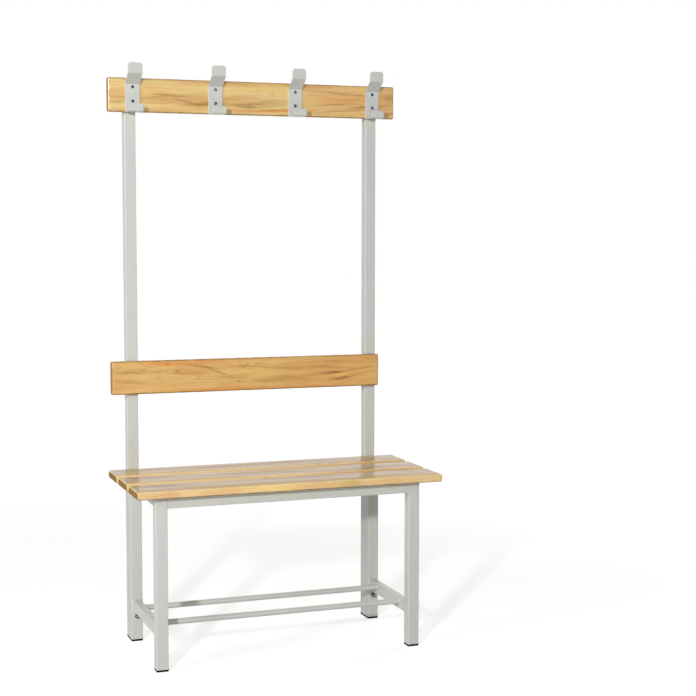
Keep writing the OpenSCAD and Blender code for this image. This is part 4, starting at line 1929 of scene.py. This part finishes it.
@dataclass
class Studio:
    """Pale floor, white surroundings and five soft lamps."""

    lamps: tuple[Lamp, ...] = (
        Lamp("key_lamp", (-2.45, -3.75, 1.88), size=0.3, power=118.0),
        Lamp("front_fill", (-0.9, -4.3, 0.75), size=1.1, power=17.0),
        Lamp("side_lamp", (-3.9, -1.6, 1.9), size=1.1, power=50.0),
        Lamp("back_fill", (2.2, 4.4, 3.6), size=1.6, power=38.0),
        Lamp("right_fill", (4.1, 2.0, 1.2), size=1.2, power=62.0))
    aim: Place = (0.0, 0.0, 0.8)
    world_level: float = 0.15
    floor_size: float = 30.0
    floor_tone: float = 0.6
    floor_change: float = 0.02
    near_glow: float = 0.67
    far_glow: float = 0.92
    glow_start: float = 1.0
    glow_end: float = 5.0

    def seen(self, sheet: Sheet) -> Socket:
        """Tell the rays that see the surroundings from those that only light.

        Args:
            sheet: Where the nodes go.

        Returns:
            A socket that is 1 for camera, glossy and transmission rays.
        """
        rays = sheet.node("ShaderNodeLightPath").outputs
        both = sheet.maths("MAXIMUM", rays["Is Camera Ray"], rays["Is Glossy Ray"])
        return sheet.maths("MAXIMUM", both, rays["Is Transmission Ray"])

    def world(self) -> None:
        """Build the white surroundings."""
        world = bpy.data.worlds.new("white_surroundings")
        sheet = Sheet(emptied(world))
        level = sheet.maths("MULTIPLY_ADD", self.seen(sheet), 1.0 - self.world_level,
                            self.world_level)
        glow = sheet.node("ShaderNodeBackground", {"Color": WHITE, "Strength": level})
        sheet.node("ShaderNodeOutputWorld", {"Surface": glow.outputs[0]})
        bpy.context.scene.world = world

    def floor(self) -> None:
        """Build the pale floor, which keeps the bench's shadow."""
        half = self.floor_size / 2
        mesh = bpy.data.meshes.new("studio_floor")
        mesh.from_pydata([(-half, -half, 0), (half, -half, 0), (half, half, 0), (-half, half, 0)],
                         [], [(0, 1, 2, 3)])
        material = bpy.data.materials.new("pale_studio_floor")
        sheet = Sheet(emptied(material))
        place = sheet.node("ShaderNodeTexCoord").outputs["Object"]
        cloud = sheet.noise(place, (3, 3, 3))
        tone = sheet.maths("MULTIPLY_ADD", cloud, self.floor_change, self.floor_tone)
        matt = sheet.node("ShaderNodeBsdfDiffuse", {"Color": sheet.grey(tone)})
        away = sheet.smooth(sheet.vector("LENGTH", place), self.glow_start, self.glow_end)
        level = sheet.maths("MULTIPLY_ADD", away, self.far_glow - self.near_glow, self.near_glow)
        strength = sheet.maths("MULTIPLY", self.seen(sheet), level)
        glow = sheet.node("ShaderNodeEmission", {"Color": WHITE, "Strength": strength})
        both = sheet.node("ShaderNodeAddShader", {0: matt.outputs[0], 1: glow.outputs[0]})
        sheet.node("ShaderNodeOutputMaterial", {"Surface": both.outputs[0]})
        mesh.materials.append(material)
        item = bpy.data.objects.new("studio_floor", mesh)
        bpy.context.scene.collection.objects.link(item)

    def build(self) -> None:
        """Build the studio."""
        bpy.context.scene.view_settings.view_transform = "Standard"
        self.world()
        self.floor()
        for lamp in self.lamps:
            lamp.build(Vector(self.aim))


def main() -> None:
    """Load the frame and build everything round it."""
    logging.basicConfig(level=logging.INFO, format="%(name)s: %(message)s")
    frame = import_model()
    PhotoCamera().build()
    Studio().build()
    maker = Maker()
    PineBoards(maker).build()
    SteelFrame(maker).build()
    ShoeRack(maker).build()
    CoatHooks(maker).build()
    TubeInserts(maker).build()
    Fasteners(maker).build(frame["nodes"])
    LOG.info("%d pieces", maker.made)


if __name__ == "__main__":
    main()
